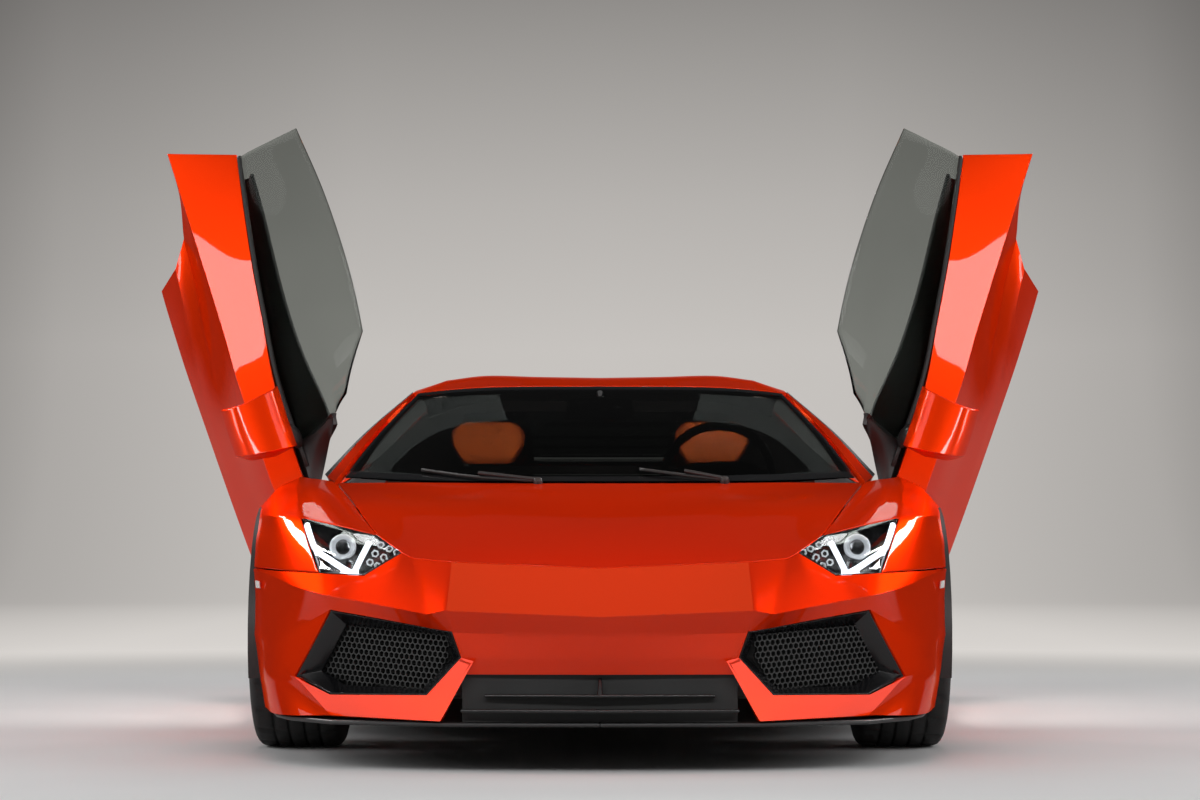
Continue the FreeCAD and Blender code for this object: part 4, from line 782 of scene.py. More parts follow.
for side, name in SIDES:
    rim = [[towards(p, lamp_middle, share, back) for p in LAMP + LAMP[:1]]
           for share, back in ((0.02, 3), (0.05, 8), (0.12, 75), (0.45, 85), (0.98, 90))]
    lining("lamp_bowl_" + name, [sided(rim, side)], GLOSS, 0.002, inside=behind)
    lens_rows = patch([line(LAMP_B, towards(LAMP_A, LAMP_B, 0.5), LAMP_A),
                       line(towards(LAMP_B, LAMP_C, 0.55, -4), (700, -1900, 562),
                            towards(LAMP_A, LAMP_E, 0.5, -6)),
                       line(LAMP_C, LAMP_D, LAMP_E, breaks=(1,))])
    skin("lamp_lens_" + name, [sided(lens_rows, side)], material=CLEAR, thick=0.003,
         gap=0.0035, inside=behind, roll=0)
    guide = joined(
        guide_bar(8.5, (803, 628, 20), (784, 590, 22), (764, 559, 24), (722, 534, 26),
                  (688, 514, 26), (658, 499, 24)),
        guide_bar(8.5, (663, 499, 24), (640, 500, 24)),
        guide_bar(8, (650, 500, 25), (636, 540, 25), (621, 578, 25)))
    if side < 0:
        bmesh.ops.scale(guide, vec=(-1, 1, 1), verts=guide.verts)
        bmesh.ops.reverse_faces(guide, faces=guide.faces)
    add(guide, "lamp_guide_" + name, LIGHT_GUIDE)
    eye = line_on([lamp_place(694, 568, 42)], side)[0]
    ring = facing([(36, 10), (34, -4), (29, -6), (26, 4), (20, 8), (20, 14), (34, 14)], eye, 48)
    # The projector ring glows with painted reflection.
    add(ring, "projector_ring_" + name, REFLECTOR_PAINTED_GLOW)
    ball = facing([(0.01, -8), (8, -6.5), (15, -2), (19.5, 5), (19.5, 12), (0.01, 12)], eye, 32)
    add(ball, "projector_lens_" + name, CLEAR)
    cells = []
    for x, z in ((588, 574), (563, 563), (541, 553), (600, 550), (575, 540), (611, 527),
                 (589, 518)):
        spot = line_on([lamp_place(x, z, 26)], side)[0]
        cells.append(facing([(10.5, -3), (8.5, -4), (6, 3), (6, 8), (10.5, 8)], spot, 6))
    # The reflector cups glow with painted reflection.
    add(joined(*cells), "lamp_reflectors_" + name, REFLECTOR_PAINTED_GLOW, flat=True)
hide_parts("headlamps")

# ---------------------------------------------------------------- front splitter
SPLITTER = [(0, -2338), (395, -2325), (690, -2205), (815, -2020), (868, -1850), (900, -1640)]
blade_outline = [(x, y, 124) for x, y in SPLITTER + [(0, -1640)]]
blades = []
for outline in (blade_outline, mirrored([blade_outline])[0]):
    blades.append(extrude_outline(outline, (0, 0, -11)))
blade = add(joined(*blades), "splitter_blade", SATIN, "body", "front_splitter")
rounded(blade, 0.004)


def shelf(z, front, half, height):
    """A shelf of the centre slot whose front edge comes to a point in the middle."""
    corners = [(-half, front + 26), (0, front), (half, front + 26), (half, front + 62),
               (-half, front + 62)]
    return extrude_outline([(x, y, z) for x, y in corners], (0, 0, height))


shelves = joined(shelf(188, -2352, 292, 7), shelf(150, -2368, 352, 8))
rounded(add(shelves, "slot_shelves", GLOSS), 0.0025)
slot_back = box_mesh((-350, -2288, 118), (350, -2276, 252))
add(slot_back, "slot_back", SEAL, flat=True)
strut = extrude_outline([(-7, -2352, 190), (7, -2352, 190), (4, -2318, 236), (-4, -2318, 236)],
                        (0, 30, 0))
rounded(add(strut, "slot_centre", GLOSS), 0.002)

# ---------------------------------------------------------------- door inner panels and sails
DOOR_CARD = sheet([
    [(780, -300, 868), (768, -248, 862), (784, -66, 860), (780, 127, 860), (757, 363, 862),
     (752, 500, 868)],
    [(848, -420, 776), (842, -248, 776), (830, -66, 780), (805, 127, 792), (775, 363, 806),
     (748, 500, 826)],
    [(915, -560, 690), (915, -248, 690), (908, -66, 690), (896, 127, 692), (884, 363, 698),
     (878, 520, 705)],
    [(925, -590, 480), (925, -248, 480), (920, -66, 478), (897, 127, 484), (880, 270, 486),
     (868, 400, 490)],
    [(938, -590, 292), (940, -248, 290), (944, -66, 294), (944, 60, 302), (944, 170, 312),
     (944, 260, 322)],
], breaks=(1, 2))
SAIL = sheet([
    [(878, -520, 786), (874, -400, 790), (868, -320, 792)],
    [(808, -400, 812), (820, -350, 856), (822, -316, 872)],
    [(782, -324, 927), (776, -300, 936), (771, -288, 940)],
])
for side, name in SIDES:
    door = "door_" + name
    card = skin("door_card_" + name, [sided(DOOR_CARD, side)], door, material=TRIM, thick=0.012,
                inside=lambda p: Vector((0, p.y, p.z)), roll=0.003)
    raised(card, side)
    sail = skin("door_sail_" + name, [sided(SAIL, side)], door, material=SATIN, thick=0.014)
    raised(sail, side)
    belt = tube(smooth([(side * x, y, z) for x, y, z in (
        (868, -400, 798), (870, -139, 810), (850, 61, 836), (822, 259, 851), (778, 500, 865),
        (766, 560, 868))], 6), 7, 8)
    raised(add(belt, "door_belt_seal_" + name, SEAL, door), side)

# ---------------------------------------------------------------- mirrors
MIRROR = [
    [(902, -345, 905), (930, -352, 946), (962, -352, 968), (1045, -345, 973), (1078, -335, 952),
     (1092, -322, 915), (1086, -322, 888), (1045, -342, 871), (962, -352, 868), (912, -345, 878)],
]
MIRROR_TIP = 1092
MIRROR += [[(x + dx, y + dy + (MIRROR_TIP - x) * rake, z + dz) for x, y, z in MIRROR[0]]
           for dx, dy, rake, dz in ((1, 70, 0.10, 5), (-2, 140, 0.24, 8))]
ARM_Y, ARM_STRETCH = -0.292, 1.9
mirror_middle = middle_of(MIRROR[0])
mirror_front = [[towards(p, mirror_middle, share, -bulge) for p in MIRROR[0]]
                for share, bulge in ((0.97, 10), (0.6, 9), (0.25, 6), (0.06, 2))]
rear_middle = middle_of(MIRROR[2])
mirror_back = [[towards(p, rear_middle, 0.07, dy) for p in MIRROR[2]] for dy in (2, -8)]
for side, name in SIDES:
    door = "door_" + name
    rings = [line_on(ring, side) for ring in mirror_front + MIRROR + mirror_back]
    shell = add(solid_rings(rings), "mirror_shell_" + name, PAINT, door, "mirror_" + name)
    raised(rounded(shell, 0.003, 40), side)
    face = [towards(p, rear_middle, 0.09, -4) for p in MIRROR[2]]
    glass = add(extrude_outline(line_on(face, side), (0, 3, 0)), "mirror_face_" + name,
                MIRROR_GLASS, door, flat=True)
    raised(glass, side)
    arm = [(872, -300, 800), (890, -298, 845), (925, -292, 882), (950, -290, 900)]
    arm_bar = tube(smooth([(side * x, y, z) for x, y, z in arm], 5), 19, 12)
    for vert in arm_bar.verts:
        vert.co.y = ARM_Y + (vert.co.y - ARM_Y) * ARM_STRETCH
    raised(add(arm_bar, "mirror_arm_" + name, SATIN, door), side)

# ---------------------------------------------------------------- wheels and tyres
WHEELS = {
    "front": dict(y=FRONT_AXLE_Y, x=852, radius=330.5, width=255, rim=241.3, disc=190),
    "rear": dict(y=REAR_AXLE_Y, x=850, radius=354.5, width=335, rim=254.0, disc=180),
}
TREAD_TURNS = 216
GROOVES = (-0.62, -0.22, 0.22, 0.62)
GROOVE_DEPTH, SLOT_DEPTH, CROWN_DROP = 7, 5.5, 3.5
# Slots in the tread lean by this angle between the middle and the edge, in radians.
SLOT_LEAN = 0.055
# Degrees from a pair's middle to each of its spokes at the rim.
SPOKE_SPREAD = 15


def tyre_mesh(axle):
    """Tyre at the origin, axle along X: four grooves round it and slots across its blocks."""
    r, half, seat = axle["radius"], axle["width"] / 2, axle["rim"] + 1
    side = [(seat, -half + 12), (seat + 8, -half + 7), (seat + 22, -half + 2),
            (r - 52, -half + 0.5), (r - 34, -half + 2), (r - 22, -half + 5), (r - 13, -half + 10),
            (r - 6, -half + 17)]
    profile, kinds = list(side), ["wall"] * len(side)
    flat = half - 26
    stops = []
    for place in GROOVES:
        stops += [(place * flat - 4.5, 1), (place * flat - 3.5, 0), (place * flat + 3.5, 0),
                  (place * flat + 4.5, 1)]
    across = [(-flat, 1)] + [(-flat * 0.82, 1)] + stops + [(flat * 0.82, 1), (flat, 1)]
    for x, high in across:
        crown = r - CROWN_DROP * (abs(x) / half) ** 2
        profile.append((crown if high else crown - GROOVE_DEPTH, x))
        kinds.append("tread" if high else "groove")
    profile += [(radius, -x) for radius, x in reversed(side)]
    kinds += ["wall"] * len(side)
    bm = bmesh.new()
    rings = []
    for k in range(TREAD_TURNS):
        angle = math.tau * k / TREAD_TURNS
        slot = k % 9 in (0, 1)
        ring = []
        for (radius, x), kind in zip(profile, kinds):
            a = angle + SLOT_LEAN * (1 if x > 0 else -1) * min(1, abs(x) / half)
            depth = SLOT_DEPTH if slot and kind == "tread" and abs(x) > 0.3 * half else 0
            ring.append(bm.verts.new(Vector((x, (radius - depth) * math.cos(a),
                                             (radius - depth) * math.sin(a))) * MM))
        rings.append(ring)
    for low, high in zip(rings, rings[1:] + rings[:1]):
        for k in range(len(low) - 1):
            bm.faces.new((low[k], high[k], high[k + 1], low[k + 1]))
        bm.faces.new((low[-1], high[-1], high[0], low[0]))
    bmesh.ops.recalc_face_normals(bm, faces=bm.faces)
    return bm


def about_axle(profile, turns, y=0, z=0):
    return revolved(profile, (0, y, z), (1, 0, 0), turns)


def spoke_face(axle):
    """Where the outer face of the spokes stands, from the wheel's middle plane."""
    return axle["width"] / 2 - 30


def spoke_mesh(axle, lean):
    """One tapering spoke from the hub to the rim, outboard along +X, drawn upwards."""
    reach, face = axle["rim"] - 10, spoke_face(axle)
    rings = []
    for radius, wide, x, deep in ((52, 17, face - 30, 30), (110, 13, face - 12, 28),
                                  (reach - 60, 12, face + 2, 26), (reach - 14, 15, face + 8, 30),
                                  (reach + 2, 20, face + 4, 40)):
        sweep = lean * (0.35 + 0.65 * (radius - 52) / (reach - 50)) * SPOKE_SPREAD
        ring = []
        for along, across in ((x, -wide * 0.55), (x, wide * 0.55), (x - 5, wide),
                              (x - deep, wide * 0.8), (x - deep, -wide * 0.8), (x - 5, -wide)):
            angle = math.radians(sweep) + across / max(radius, 60)
            ring.append((along, radius * math.sin(angle), radius * math.cos(angle)))
        rings.append(ring)
    return solid_rings(rings)


def rim_mesh(axle):
    """Barrel, hub and five pairs of spokes at the origin, axle along X."""
    r, half = axle["rim"], axle["width"] / 2 - 12
    face = spoke_face(axle)
    barrel = [(r - 2, -half), (r - 2, -half + 8), (r - 16, -half + 16), (r - 22, 0),
              (r - 18, half - 34), (r - 3, half - 10), (r, half), (r - 7, half + 1),
              (r - 11, half - 9), (r - 26, half - 38), (r - 30, 0), (r - 24, -half + 16),
              (r - 10, -half)]
    hub = [(0.01, face - 26), (26, face - 26), (30, face - 30), (62, face - 34), (70, face - 44),
           (70, face - 80), (0.01, face - 80)]
    pieces = [about_axle(barrel, 120), about_axle(hub, 60)]
    for pair in range(5):
        for lean in (-1, 1):
            spoke = spoke_mesh(axle, lean)
            bmesh.ops.rotate(spoke, matrix=Matrix.Rotation(math.tau * pair / 5, 3, "X"),
                             verts=spoke.verts)
            pieces.append(spoke)
    return joined(*pieces)


def bolts_mesh(axle):
    face = spoke_face(axle)
    pieces = [about_axle([(0.01, face - 14), (17, face - 14), (21, face - 18), (21, face - 30),
                          (0.01, face - 30)], 6)]
    for k in range(5):
        a = math.tau * (k + 0.5) / 5
        bolt = [(0.01, face - 22), (7, face - 22), (9, face - 25), (9, face - 38),
                (0.01, face - 38)]
        pieces.append(about_axle(bolt, 6, 46 * math.sin(a), 46 * math.cos(a)))
    valve = tube([(face - 44, 0, -axle["rim"] + 32), (face - 22, 0, -axle["rim"] + 46)], 4, 8)
    return joined(valve, *pieces)


def disc_mesh(axle):
    """A ventilated disc with a bell, inboard of the spokes."""
    outer = axle["disc"]
    rings = [about_axle([(96, x), (outer, x), (outer, x - 9), (96, x - 9)], 96)
             for x in (-16, -36)]
    bell = about_axle([(88, -44), (96, -44), (96, -16), (88, -12), (72, 0), (60, 0), (60, -8),
                       (80, -18)], 60)
    vanes = []
    for k in range(36):
        vane = box_mesh((-37, -2, 100), (-24, 2, outer - 6))
        bmesh.ops.rotate(vane, matrix=Matrix.Rotation(math.tau * k / 36, 3, "X"), verts=vane.verts)
        vanes.append(vane)
    return joined(*rings, bell, *vanes)


def on_wheel(bm, axle, side):
    """Turns a wheel piece to its side of the car and puts it at its axle."""
    if side < 0:
        bmesh.ops.rotate(bm, matrix=Matrix.Rotation(math.pi, 3, "Z"), verts=bm.verts)
    place = Vector((side * axle["x"], axle["y"], axle["radius"])) * MM
    bmesh.ops.translate(bm, vec=place, verts=bm.verts)
    return bm


for end, axle in WHEELS.items():
    for side, name in SIDES:
        label = "%s_%s" % (end, name)
        body = "wheel_" + label
        tyre = add(on_wheel(tyre_mesh(axle), axle, side), "tyre_tread_" + label, RUBBER, body,
                   "tyre_" + label)
        rounded(tyre, 0)
        rim = add(on_wheel(rim_mesh(axle), axle, side), "rim_" + label, ALLOY, body,
                  "wheel_" + label)
        rounded(rim, 0.0015, 35)
        add(on_wheel(bolts_mesh(axle), axle, side), "wheel_bolts_" + label, CHROME, body,
            flat=True)
        disc = add(on_wheel(disc_mesh(axle), axle, side), "brake_disc_" + label, DISC, body)
        rounded(disc, 0.0008, 35)

# ---------------------------------------------------------------- wheel arch liners
# Arch, height of its middle, and how far out and how far in its liner reaches.
ARCHES = {"front": (front_arch, 330, 972, 700), "rear": (rear_arch, 354, 996, 660)}
for end, (arch, axle_z, outer_x, inner_x) in ARCHES.items():
    axle_y = WHEELS[end]["y"]
    rows = [[arch(a, x) for x in (outer_x, (outer_x + inner_x) / 2, inner_x)]
            for a in range(-20, 197, 12)]
    rows = [[towards(p, (p[0], axle_y, axle_z), -0.02) for p in row] for row in rows]
    for side, name in SIDES:
        lining("arch_liner_%s_%s" % (end, name), [sided(rows, side)], SATIN, 0.003,
               inside=lambda p, y=axle_y * MM: Vector((p.x, y, 0.34)))


# ---------------------------------------------------------------- seats
def seat_ring(y, z, half, thick, tilt, bolster):
    """Section across a seat: flat middle, raised bolsters at both sides, flat rear."""
    front = [(-half, 0.1), (-half * 0.93, 1 + bolster), (-half * 0.72, 1 + bolster),
             (-half * 0.55, 1.0), (0, 0.97), (half * 0.55, 1.0), (half * 0.72, 1 + bolster),
             (half * 0.93, 1 + bolster), (half, 0.1), (half * 0.8, 0), (-half * 0.8, 0)]
    dy, dz = math.cos(tilt), math.sin(tilt)
    return [(x, y - thick * t * dy, z + thick * t * dz) for x, t in front]


def smooth_solid(rings, steps=4):
    """Closed form through rings, with the rings themselves drawn finer."""
    fine = [list(ring) for ring in zip(*[smooth(list(column), steps)
                                         for column in zip(*rings)])]
    closed = []
    for ring in fine:
        loop = ring + ring[:3]
        points = smooth([ring[-1]] + loop, 3)
        closed.append(points[3:3 + 3 * len(ring)])
    return solid_rings(closed)


# Rings of a seat: station, height, half width, thickness, tilt, and how high the bolsters stand.
UPRIGHT = math.pi / 2
CUSHION = ((-372, 262, 210, 46, UPRIGHT, 0.0), (-330, 215, 222, 98, UPRIGHT, 0.25),
           (-200, 195, 228, 100, UPRIGHT, 0.45), (0, 180, 228, 88, UPRIGHT, 0.55),
           (96, 172, 205, 84, UPRIGHT, 0.3))
BACK = ((172, 232, 205, 60, 0.1, 0.4), (188, 330, 226, 78, 0.12, 0.55),
        (212, 480, 226, 76, 0.1, 0.5), (236, 600, 212, 70, 0.08, 0.35),
        (250, 700, 184, 62, 0.05, 0.2), (256, 780, 150, 52, 0.0, 0.1),
        (258, 822, 132, 40, 0.0, 0.0))
HEADREST = ((244, 846, 80, 36, 0.0, 0.0), (246, 868, 96, 54, 0.0, 0.05),
            (244, 918, 124, 58, -0.05, 0.08), (240, 962, 118, 50, -0.1, 0.0),
            (236, 992, 88, 34, -0.1, 0.0))
INSERT = ((174, 340, 116, 78, 0.12, 0), (199, 480, 118, 74, 0.1, 0), (224, 600, 112, 67, 0.08, 0),
          (236, 690, 98, 60, 0.05, 0))
SEAT_X = 376
for side, name in ((1, "driver"), (-1, "passenger")):
    for label, rings, material, levels, give in (
            ("seat_cushion_", CUSHION, DARK_LEATHER, 1, 0.8),
            ("seat_back_", BACK, DARK_LEATHER, 1, 0.8), ("headrest_", HEADREST, LEATHER, 1, 0.8),
            ("seat_insert_", INSERT, LEATHER, 0, 0.7)):
        rings = [[(side * SEAT_X + x, y, z) for x, y, z in seat_ring(*ring)] for ring in rings]
        pad = add(smooth_solid(rings), label + name, material)
        if levels:
            soften = pad.modifiers.new("smooth", "SUBSURF")
            soften.levels = soften.render_levels = levels
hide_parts("seats")

# ---------------------------------------------------------------- engine cover louvres
SLAT_PITCH, SLAT_LENGTH = 200, 182


def cover_height(y):
    """Height of the engine cover's middle at its grid row nearest to y."""
    row = min(ENGINE_COVER, key=lambda points: abs(points[0][1] - y))
    return row[0][2]


slats = []
for k in range(6):
    y = 690 + k * SLAT_PITCH
    front, rear = cover_height(y) - 26, cover_height(y + 170) + 3
    half = 300 - 6 * k
    outline = [(-half, y + 60), (-half + 70, y), (half - 70, y), (half, y + 60), (half, y + 130),
               (half - 60, y + SLAT_LENGTH), (-half + 60, y + SLAT_LENGTH), (-half, y + 130)]
    low = [(x, yy, front + (rear - front) * (yy - y) / SLAT_LENGTH) for x, yy in outline]
    slats.append(extrude_outline(low, (0, 0, 9)))
louvres = add(joined(*slats), "engine_cover_slats", GLOSS, "engine_cover")
rounded(louvres, 0.003)

# ---------------------------------------------------------------- tail lamps, meshes, exhaust
for side, name in SIDES:
    lamp_rows = [[(650, 2309, 802), (770, 2266, 792), (872, 2214, 776)],
                 [(652, 2324, 732), (770, 2278, 726), (872, 2226, 720)]]
    skin("tail_lamp_bowl_" + name, [sided(moved(lamp_rows, -1, 0), side)],
         material=GLOSS, thick=0.004, gap=-0.006, roll=0.001)
    skin("tail_lamp_lens_" + name, [sided(moved(lamp_rows, 14, 0), side)],
         material=RED_LENS, thick=0.004, gap=0, roll=0.0015)
    guides = []
    for k in range(3):
        x, y, z = 668 + 68 * k, 2313 - 25 * k, 762 - 5 * k
        stem, fork = (x, y, z), (x + 26, y - 9, z)
        for ends in ((stem, fork), (fork, (x + 52, y - 20, z + 22)),
                     (fork, (x + 52, y - 20, z - 22))):
            guides.append(tube(line_on(ends, side), 4.5, 8))
    add(joined(*guides), "tail_lamp_guide_" + name, TAIL_GUIDE)
    corner = [(560, 2366, 700), (860, 2262, 690), (868, 2270, 640), (800, 2312, 560),
              (560, 2372, 560)]
    add(honeycomb(line_on(corner, side), 26, 3, 8), "tail_mesh_" + name, SATIN, "body",
        flat=True)
    blade_rows = sheet([
        [(560, 2366, 552), (720, 2318, 552), (880, 2248, 580), (950, 2208, 640)],
        [(560, 2378, 500), (720, 2330, 500), (890, 2256, 516), (956, 2212, 560)],
        [(600, 2362, 452), (730, 2322, 448), (880, 2258, 440), (952, 2214, 430)],
    ], breaks=(1,))
    skin("tail_blade_" + name, [sided(blade_rows, side)], gap=0, thick=0.016, roll=0.003)
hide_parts("tail_lamps")

DIFFUSER = sheet([
    [(0, 1860, 125), (350, 1860, 125), (640, 1860, 125), (860, 1860, 150)],
    [(0, 2130, 190), (350, 2130, 190), (640, 2125, 190), (900, 2100, 200)],
    [(0, 2375, 310), (350, 2370, 310), (640, 2320, 310), (930, 2195, 300)],
])
skin("diffuser_skin", both_sides([DIFFUSER]), "body", ["rear_diffuser"], CARBON, 0.008,
     inside=lambda p: Vector((p.x, 1.9, 0.7)))
fins = []
for x in (-560, -380, -200, 200, 380, 560):
    back = 2372 if abs(x) < 400 else 2340
    profile = [(x - 4, y, z) for y, z in ((1930, 142), (back, 300), (back + 4, 200),
                                          (back - 60, 150), (1980, 128))]
    fins.append(extrude_outline(profile, (8, 0, 0)))
rounded(add(joined(*fins), "diffuser_fins", CARBON), 0.002)


def hexagon(grow, y):
    outline = [(-150, 375), (-100, 425), (100, 425), (150, 375), (100, 330), (-100, 330)]
    return [(x * grow, y, 378 + (z - 378) * grow) for x, z in outline]


pipe = [hexagon(g, y) for g, y in ((0.98, 2235), (0.98, 2372), (0.96, 2376), (0.92, 2376),
                                   (0.88, 2368), (0.86, 2262), (0.02, 2261))]
rounded(add(solid_rings(pipe), "exhaust_tip", STEEL, "body", "exhaust"), 0.002)
splits = extrude_outline([(-4, 2300, 338), (4, 2300, 338), (4, 2300, 416), (-4, 2300, 416)],
                         (0, 55, 0))
add(splits, "exhaust_divider", STEEL, flat=True)
surround = [hexagon(g, y) + hexagon(g, y)[:1]
            for g, y in ((1.30, 2362), (1.22, 2384), (1.06, 2380), (1.03, 2330))]
skin("exhaust_surround", [surround], material=GLOSS, thick=0.004, gap=0,
     inside=lambda p: p - Vector((0, 1, 0)))

# ---------------------------------------------------------------- side intakes and door jambs
for side, name in SIDES:
    mouth = [(946, 640, 708), (984, 796, 598), (998, 742, 336), (998, 640, 326), (940, 615, 330),
             (930, 610, 560)]
    throat = [(840, 900, 640), (850, 960, 560), (860, 940, 400), (850, 860, 370), (800, 820, 380),
              (800, 830, 560)]
    rows = [mouth + mouth[:1], throat + throat[:1]]
    lining("side_duct_" + name, [sided(rows, side)], SATIN, 0.003, inside=behind)
    cap = extrude_outline(line_on(throat, side), (0, 8, 0))
    add(cap, "side_duct_end_" + name, SEAL, flat=True)
    fin = [(948, 655, 660), (976, 770, 585), (982, 770, 560), (955, 640, 630)]
    fin_piece = extrude_outline(line_on(fin, side), (-side * 14, 0, -4))
    rounded(add(fin_piece, "side_duct_fin_" + name, PAINT), 0.003)
    sill_cover = sheet([
        [(996, -690, 230), (1002, -125, 232), (1002, 120, 246), (1000, 345, 288), (996, 640, 318)],
        [(930, -690, 231), (930, -125, 233), (930, 120, 247), (930, 345, 284), (930, 640, 314)],
        [(880, -690, 228), (880, -125, 228), (880, 120, 232), (880, 345, 240), (880, 610, 262)],
    ], breaks=(1,))
    skin("sill_tread_" + name, [sided(sill_cover, side)], material=CARBON, thick=0.004,
         gap=0, inside=lambda p: Vector((p.x, p.y, 0)), roll=0.002)
    rear_jamb = sheet([
        [(615, 582, 1030), (700, 600, 935), (778, 612, 858), (900, 648, 790), (944, 668, 750)],
        [(600, 600, 940), (680, 612, 880), (740, 622, 800), (860, 640, 740), (938, 650, 700)],
        [(600, 612, 700), (680, 616, 660), (740, 622, 600), (840, 630, 560), (932, 640, 540)],
        [(600, 616, 300), (680, 618, 300), (740, 622, 300), (840, 630, 300), (932, 636, 330)],
    ])
    lining("rear_jamb_" + name, [sided(rear_jamb, side)], SATIN, inside=behind)
    front_jamb = sheet([
        [(884, -850, 752), (960, -852, 710)],
        [(760, -850, 560), (978, -862, 560)],
        [(740, -850, 300), (984, -776, 340)],
    ])
    lining("front_jamb_" + name, [sided(front_jamb, side)], SATIN, inside=behind)

# ---------------------------------------------------------------- glass edges and wipers
def border(rows, low_share, high_share, edge_share):
    """Narrow sheets along a sheet's first row, last row and last column."""
    low = [[towards(a, b, low_share * k) for a, b in zip(rows[0], rows[-1])] for k in (0, 0.5, 1)]
    high = [[towards(a, b, high_share * k) for a, b in zip(rows[-1], rows[0])]
            for k in (0, 0.5, 1)]
    edge = [[towards(row[-1], row[0], edge_share * k) for row in rows] for k in (0, 0.5, 1)]
    return low, high, edge


for label, rows in zip(("low", "high", "edge"), border(WINDSCREEN, 0.06, 0.035, 0.02)):
    lining("windscreen_band_" + label, both_sides([moved(rows, 0.5, 1.5)]), GLOSS, 0.0008)
cowl = sheet([
    [(0, -1064, 752), (318, -1044, 753), (560, -968, 758), (778, -850, 764)],
    [(0, -1050, 748), (318, -1029, 749), (560, -952, 754), (772, -812, 764)],
])
lining("windscreen_cowl", both_sides([cowl]), SATIN, 0.003)
for label, points in (("passenger", [(-183, -1058, 764), (-360, -1010, 776), (-533, -905, 800)]),
                      ("driver", [(368, -1035, 768), (250, -1015, 782), (118, -985, 800)])):
    blade = tube(smooth(points, 6), 5, 8)
    add(blade, "wiper_blade_" + label, SEAL)
    heel, tip = Vector(points[0]), Vector(points[1])
    arm = tube([tuple(heel + Vector((0, 0, 4))), tuple(tip + Vector((0, -2, 13)))], 6, 8)
    pivot = revolved([(0.01, 10), (11, 8), (14, 0), (14, -14), (0.01, -14)], tuple(heel),
                     (0, -0.35, 0.94), 24)
    rounded(add(joined(arm, pivot), "wiper_arm_" + label, SATIN), 0.001)

# Inside mirror, hung from the head of the windscreen.
mirror_face = [(-112, 974), (-104, 1034), (-60, 1040), (60, 1040), (104, 1034), (112, 974),
               (60, 966), (-60, 966)]
rings = [[(x * g, y, 1004 + (z - 1004) * g) for x, z in mirror_face]
         for g, y in ((0.72, -372), (0.94, -366), (1.0, -352), (0.97, -342), (0.9, -341))]
inner_mirror = add(solid_rings(rings), "inner_mirror", GLOSS)
rounded(inner_mirror, 0.002, 35)
stalk = tube([(0, -362, 1010), (0, -345, 1040), (0, -300, 1058)], 13, 12)
foot = solid_rings([[(x * g, y, z) for x, y in ((-30, -330), (30, -330), (24, -275), (-24, -275))]
                    for g, z in ((1.0, 1052), (0.8, 1044))])
rounded(add(joined(stalk, foot), "inner_mirror_stalk", SATIN), 0.001)

# Small lamps at the corners of the nose.
for side, name in SIDES:
    marker = [[(938, -1668, 474), (950, -1634, 476)], [(936, -1664, 456), (949, -1632, 458)]]
    skin("side_marker_" + name, [sided(marker, side)], material=MARKER, thick=0.004,
         gap=-0.001, roll=0.001)

# ---------------------------------------------------------------- cabin
DASH = sheet([
    [(0, -828, 732), (330, -824, 732), (560, -814, 728), (655, -802, 722)],
    [(0, -762, 778), (330, -758, 778), (560, -750, 774), (655, -740, 766)],
    [(0, -590, 798), (330, -588, 798), (560, -584, 793), (655, -578, 784)],
    [(0, -500, 776), (330, -498, 776), (560, -494, 770), (655, -490, 760)],
    [(0, -484, 738), (330, -482, 738), (560, -480, 733), (655, -478, 726)],
    [(0, -498, 662), (330, -496, 662), (560, -494, 660), (655, -492, 656)],
    [(0, -512, 604), (330, -510, 604), (560, -508, 604), (655, -506, 604)],
])
skin("dashboard_skin", both_sides([DASH]), "body", ["dashboard"], DARK_LEATHER, 0.004, 0,
            inside=lambda p: Vector((p.x, -0.66, 0.68)), roll=0)

CONSOLE_TOP = ((-690, 540), (-505, 588), (-470, 640), (-380, 562), (-150, 442), (150, 402))
console = solid_rings([[(-110, y, 332), (-110, y, z - 16), (-92, y, z), (92, y, z),
                        (110, y, z - 16), (110, y, 332)] for y, z in CONSOLE_TOP])
rounded(add(console, "centre_console", DARK_LEATHER), 0.006, 30)


def console_pad(near, far, half, high):
    """A flat box lying on the console's slope, from station near to station far."""
    (y0, z0), (y1, z1) = near, far
    return [[(x, y, z + lift) for x, (y, z) in ((-half, (y0, z0)), (half, (y0, z0)),
                                                (half, (y1, z1)), (-half, (y1, z1)))]
            for lift in (-4, high)]


for label, pad, material in (
        ("centre_screen", console_pad((-462, 634), (-392, 573), 78, 5), GLOSS),
        ("switch_panel", console_pad((-368, 557), (-270, 505), 80, 4), SATIN),
        ("armrest", console_pad((-120, 441), (140, 404), 84, 16), LEATHER)):
    rounded(add(solid_rings(pad), label, material, slot="black_gloss"), 0.003, 30)
buttons = []
for row in range(2):
    for k in range(5):
        y, z = -352 + 34 * row, 553 - 18 * row
        x = -60 + 30 * k
        buttons.append(box_mesh((x - 11, y - 11, z - 3), (x + 11, y + 11, z + 7)))
start = revolved([(0.01, 12), (15, 11), (18, 6), (18, 0), (0.01, 0)], (0, -278, 516),
                 (0, 0.44, 0.9), 32)
rounded(add(joined(*buttons), "console_buttons", ALUMINIUM), 0.002, 30)
rounded(add(start, "start_button", CALIPER), 0.001, 30)

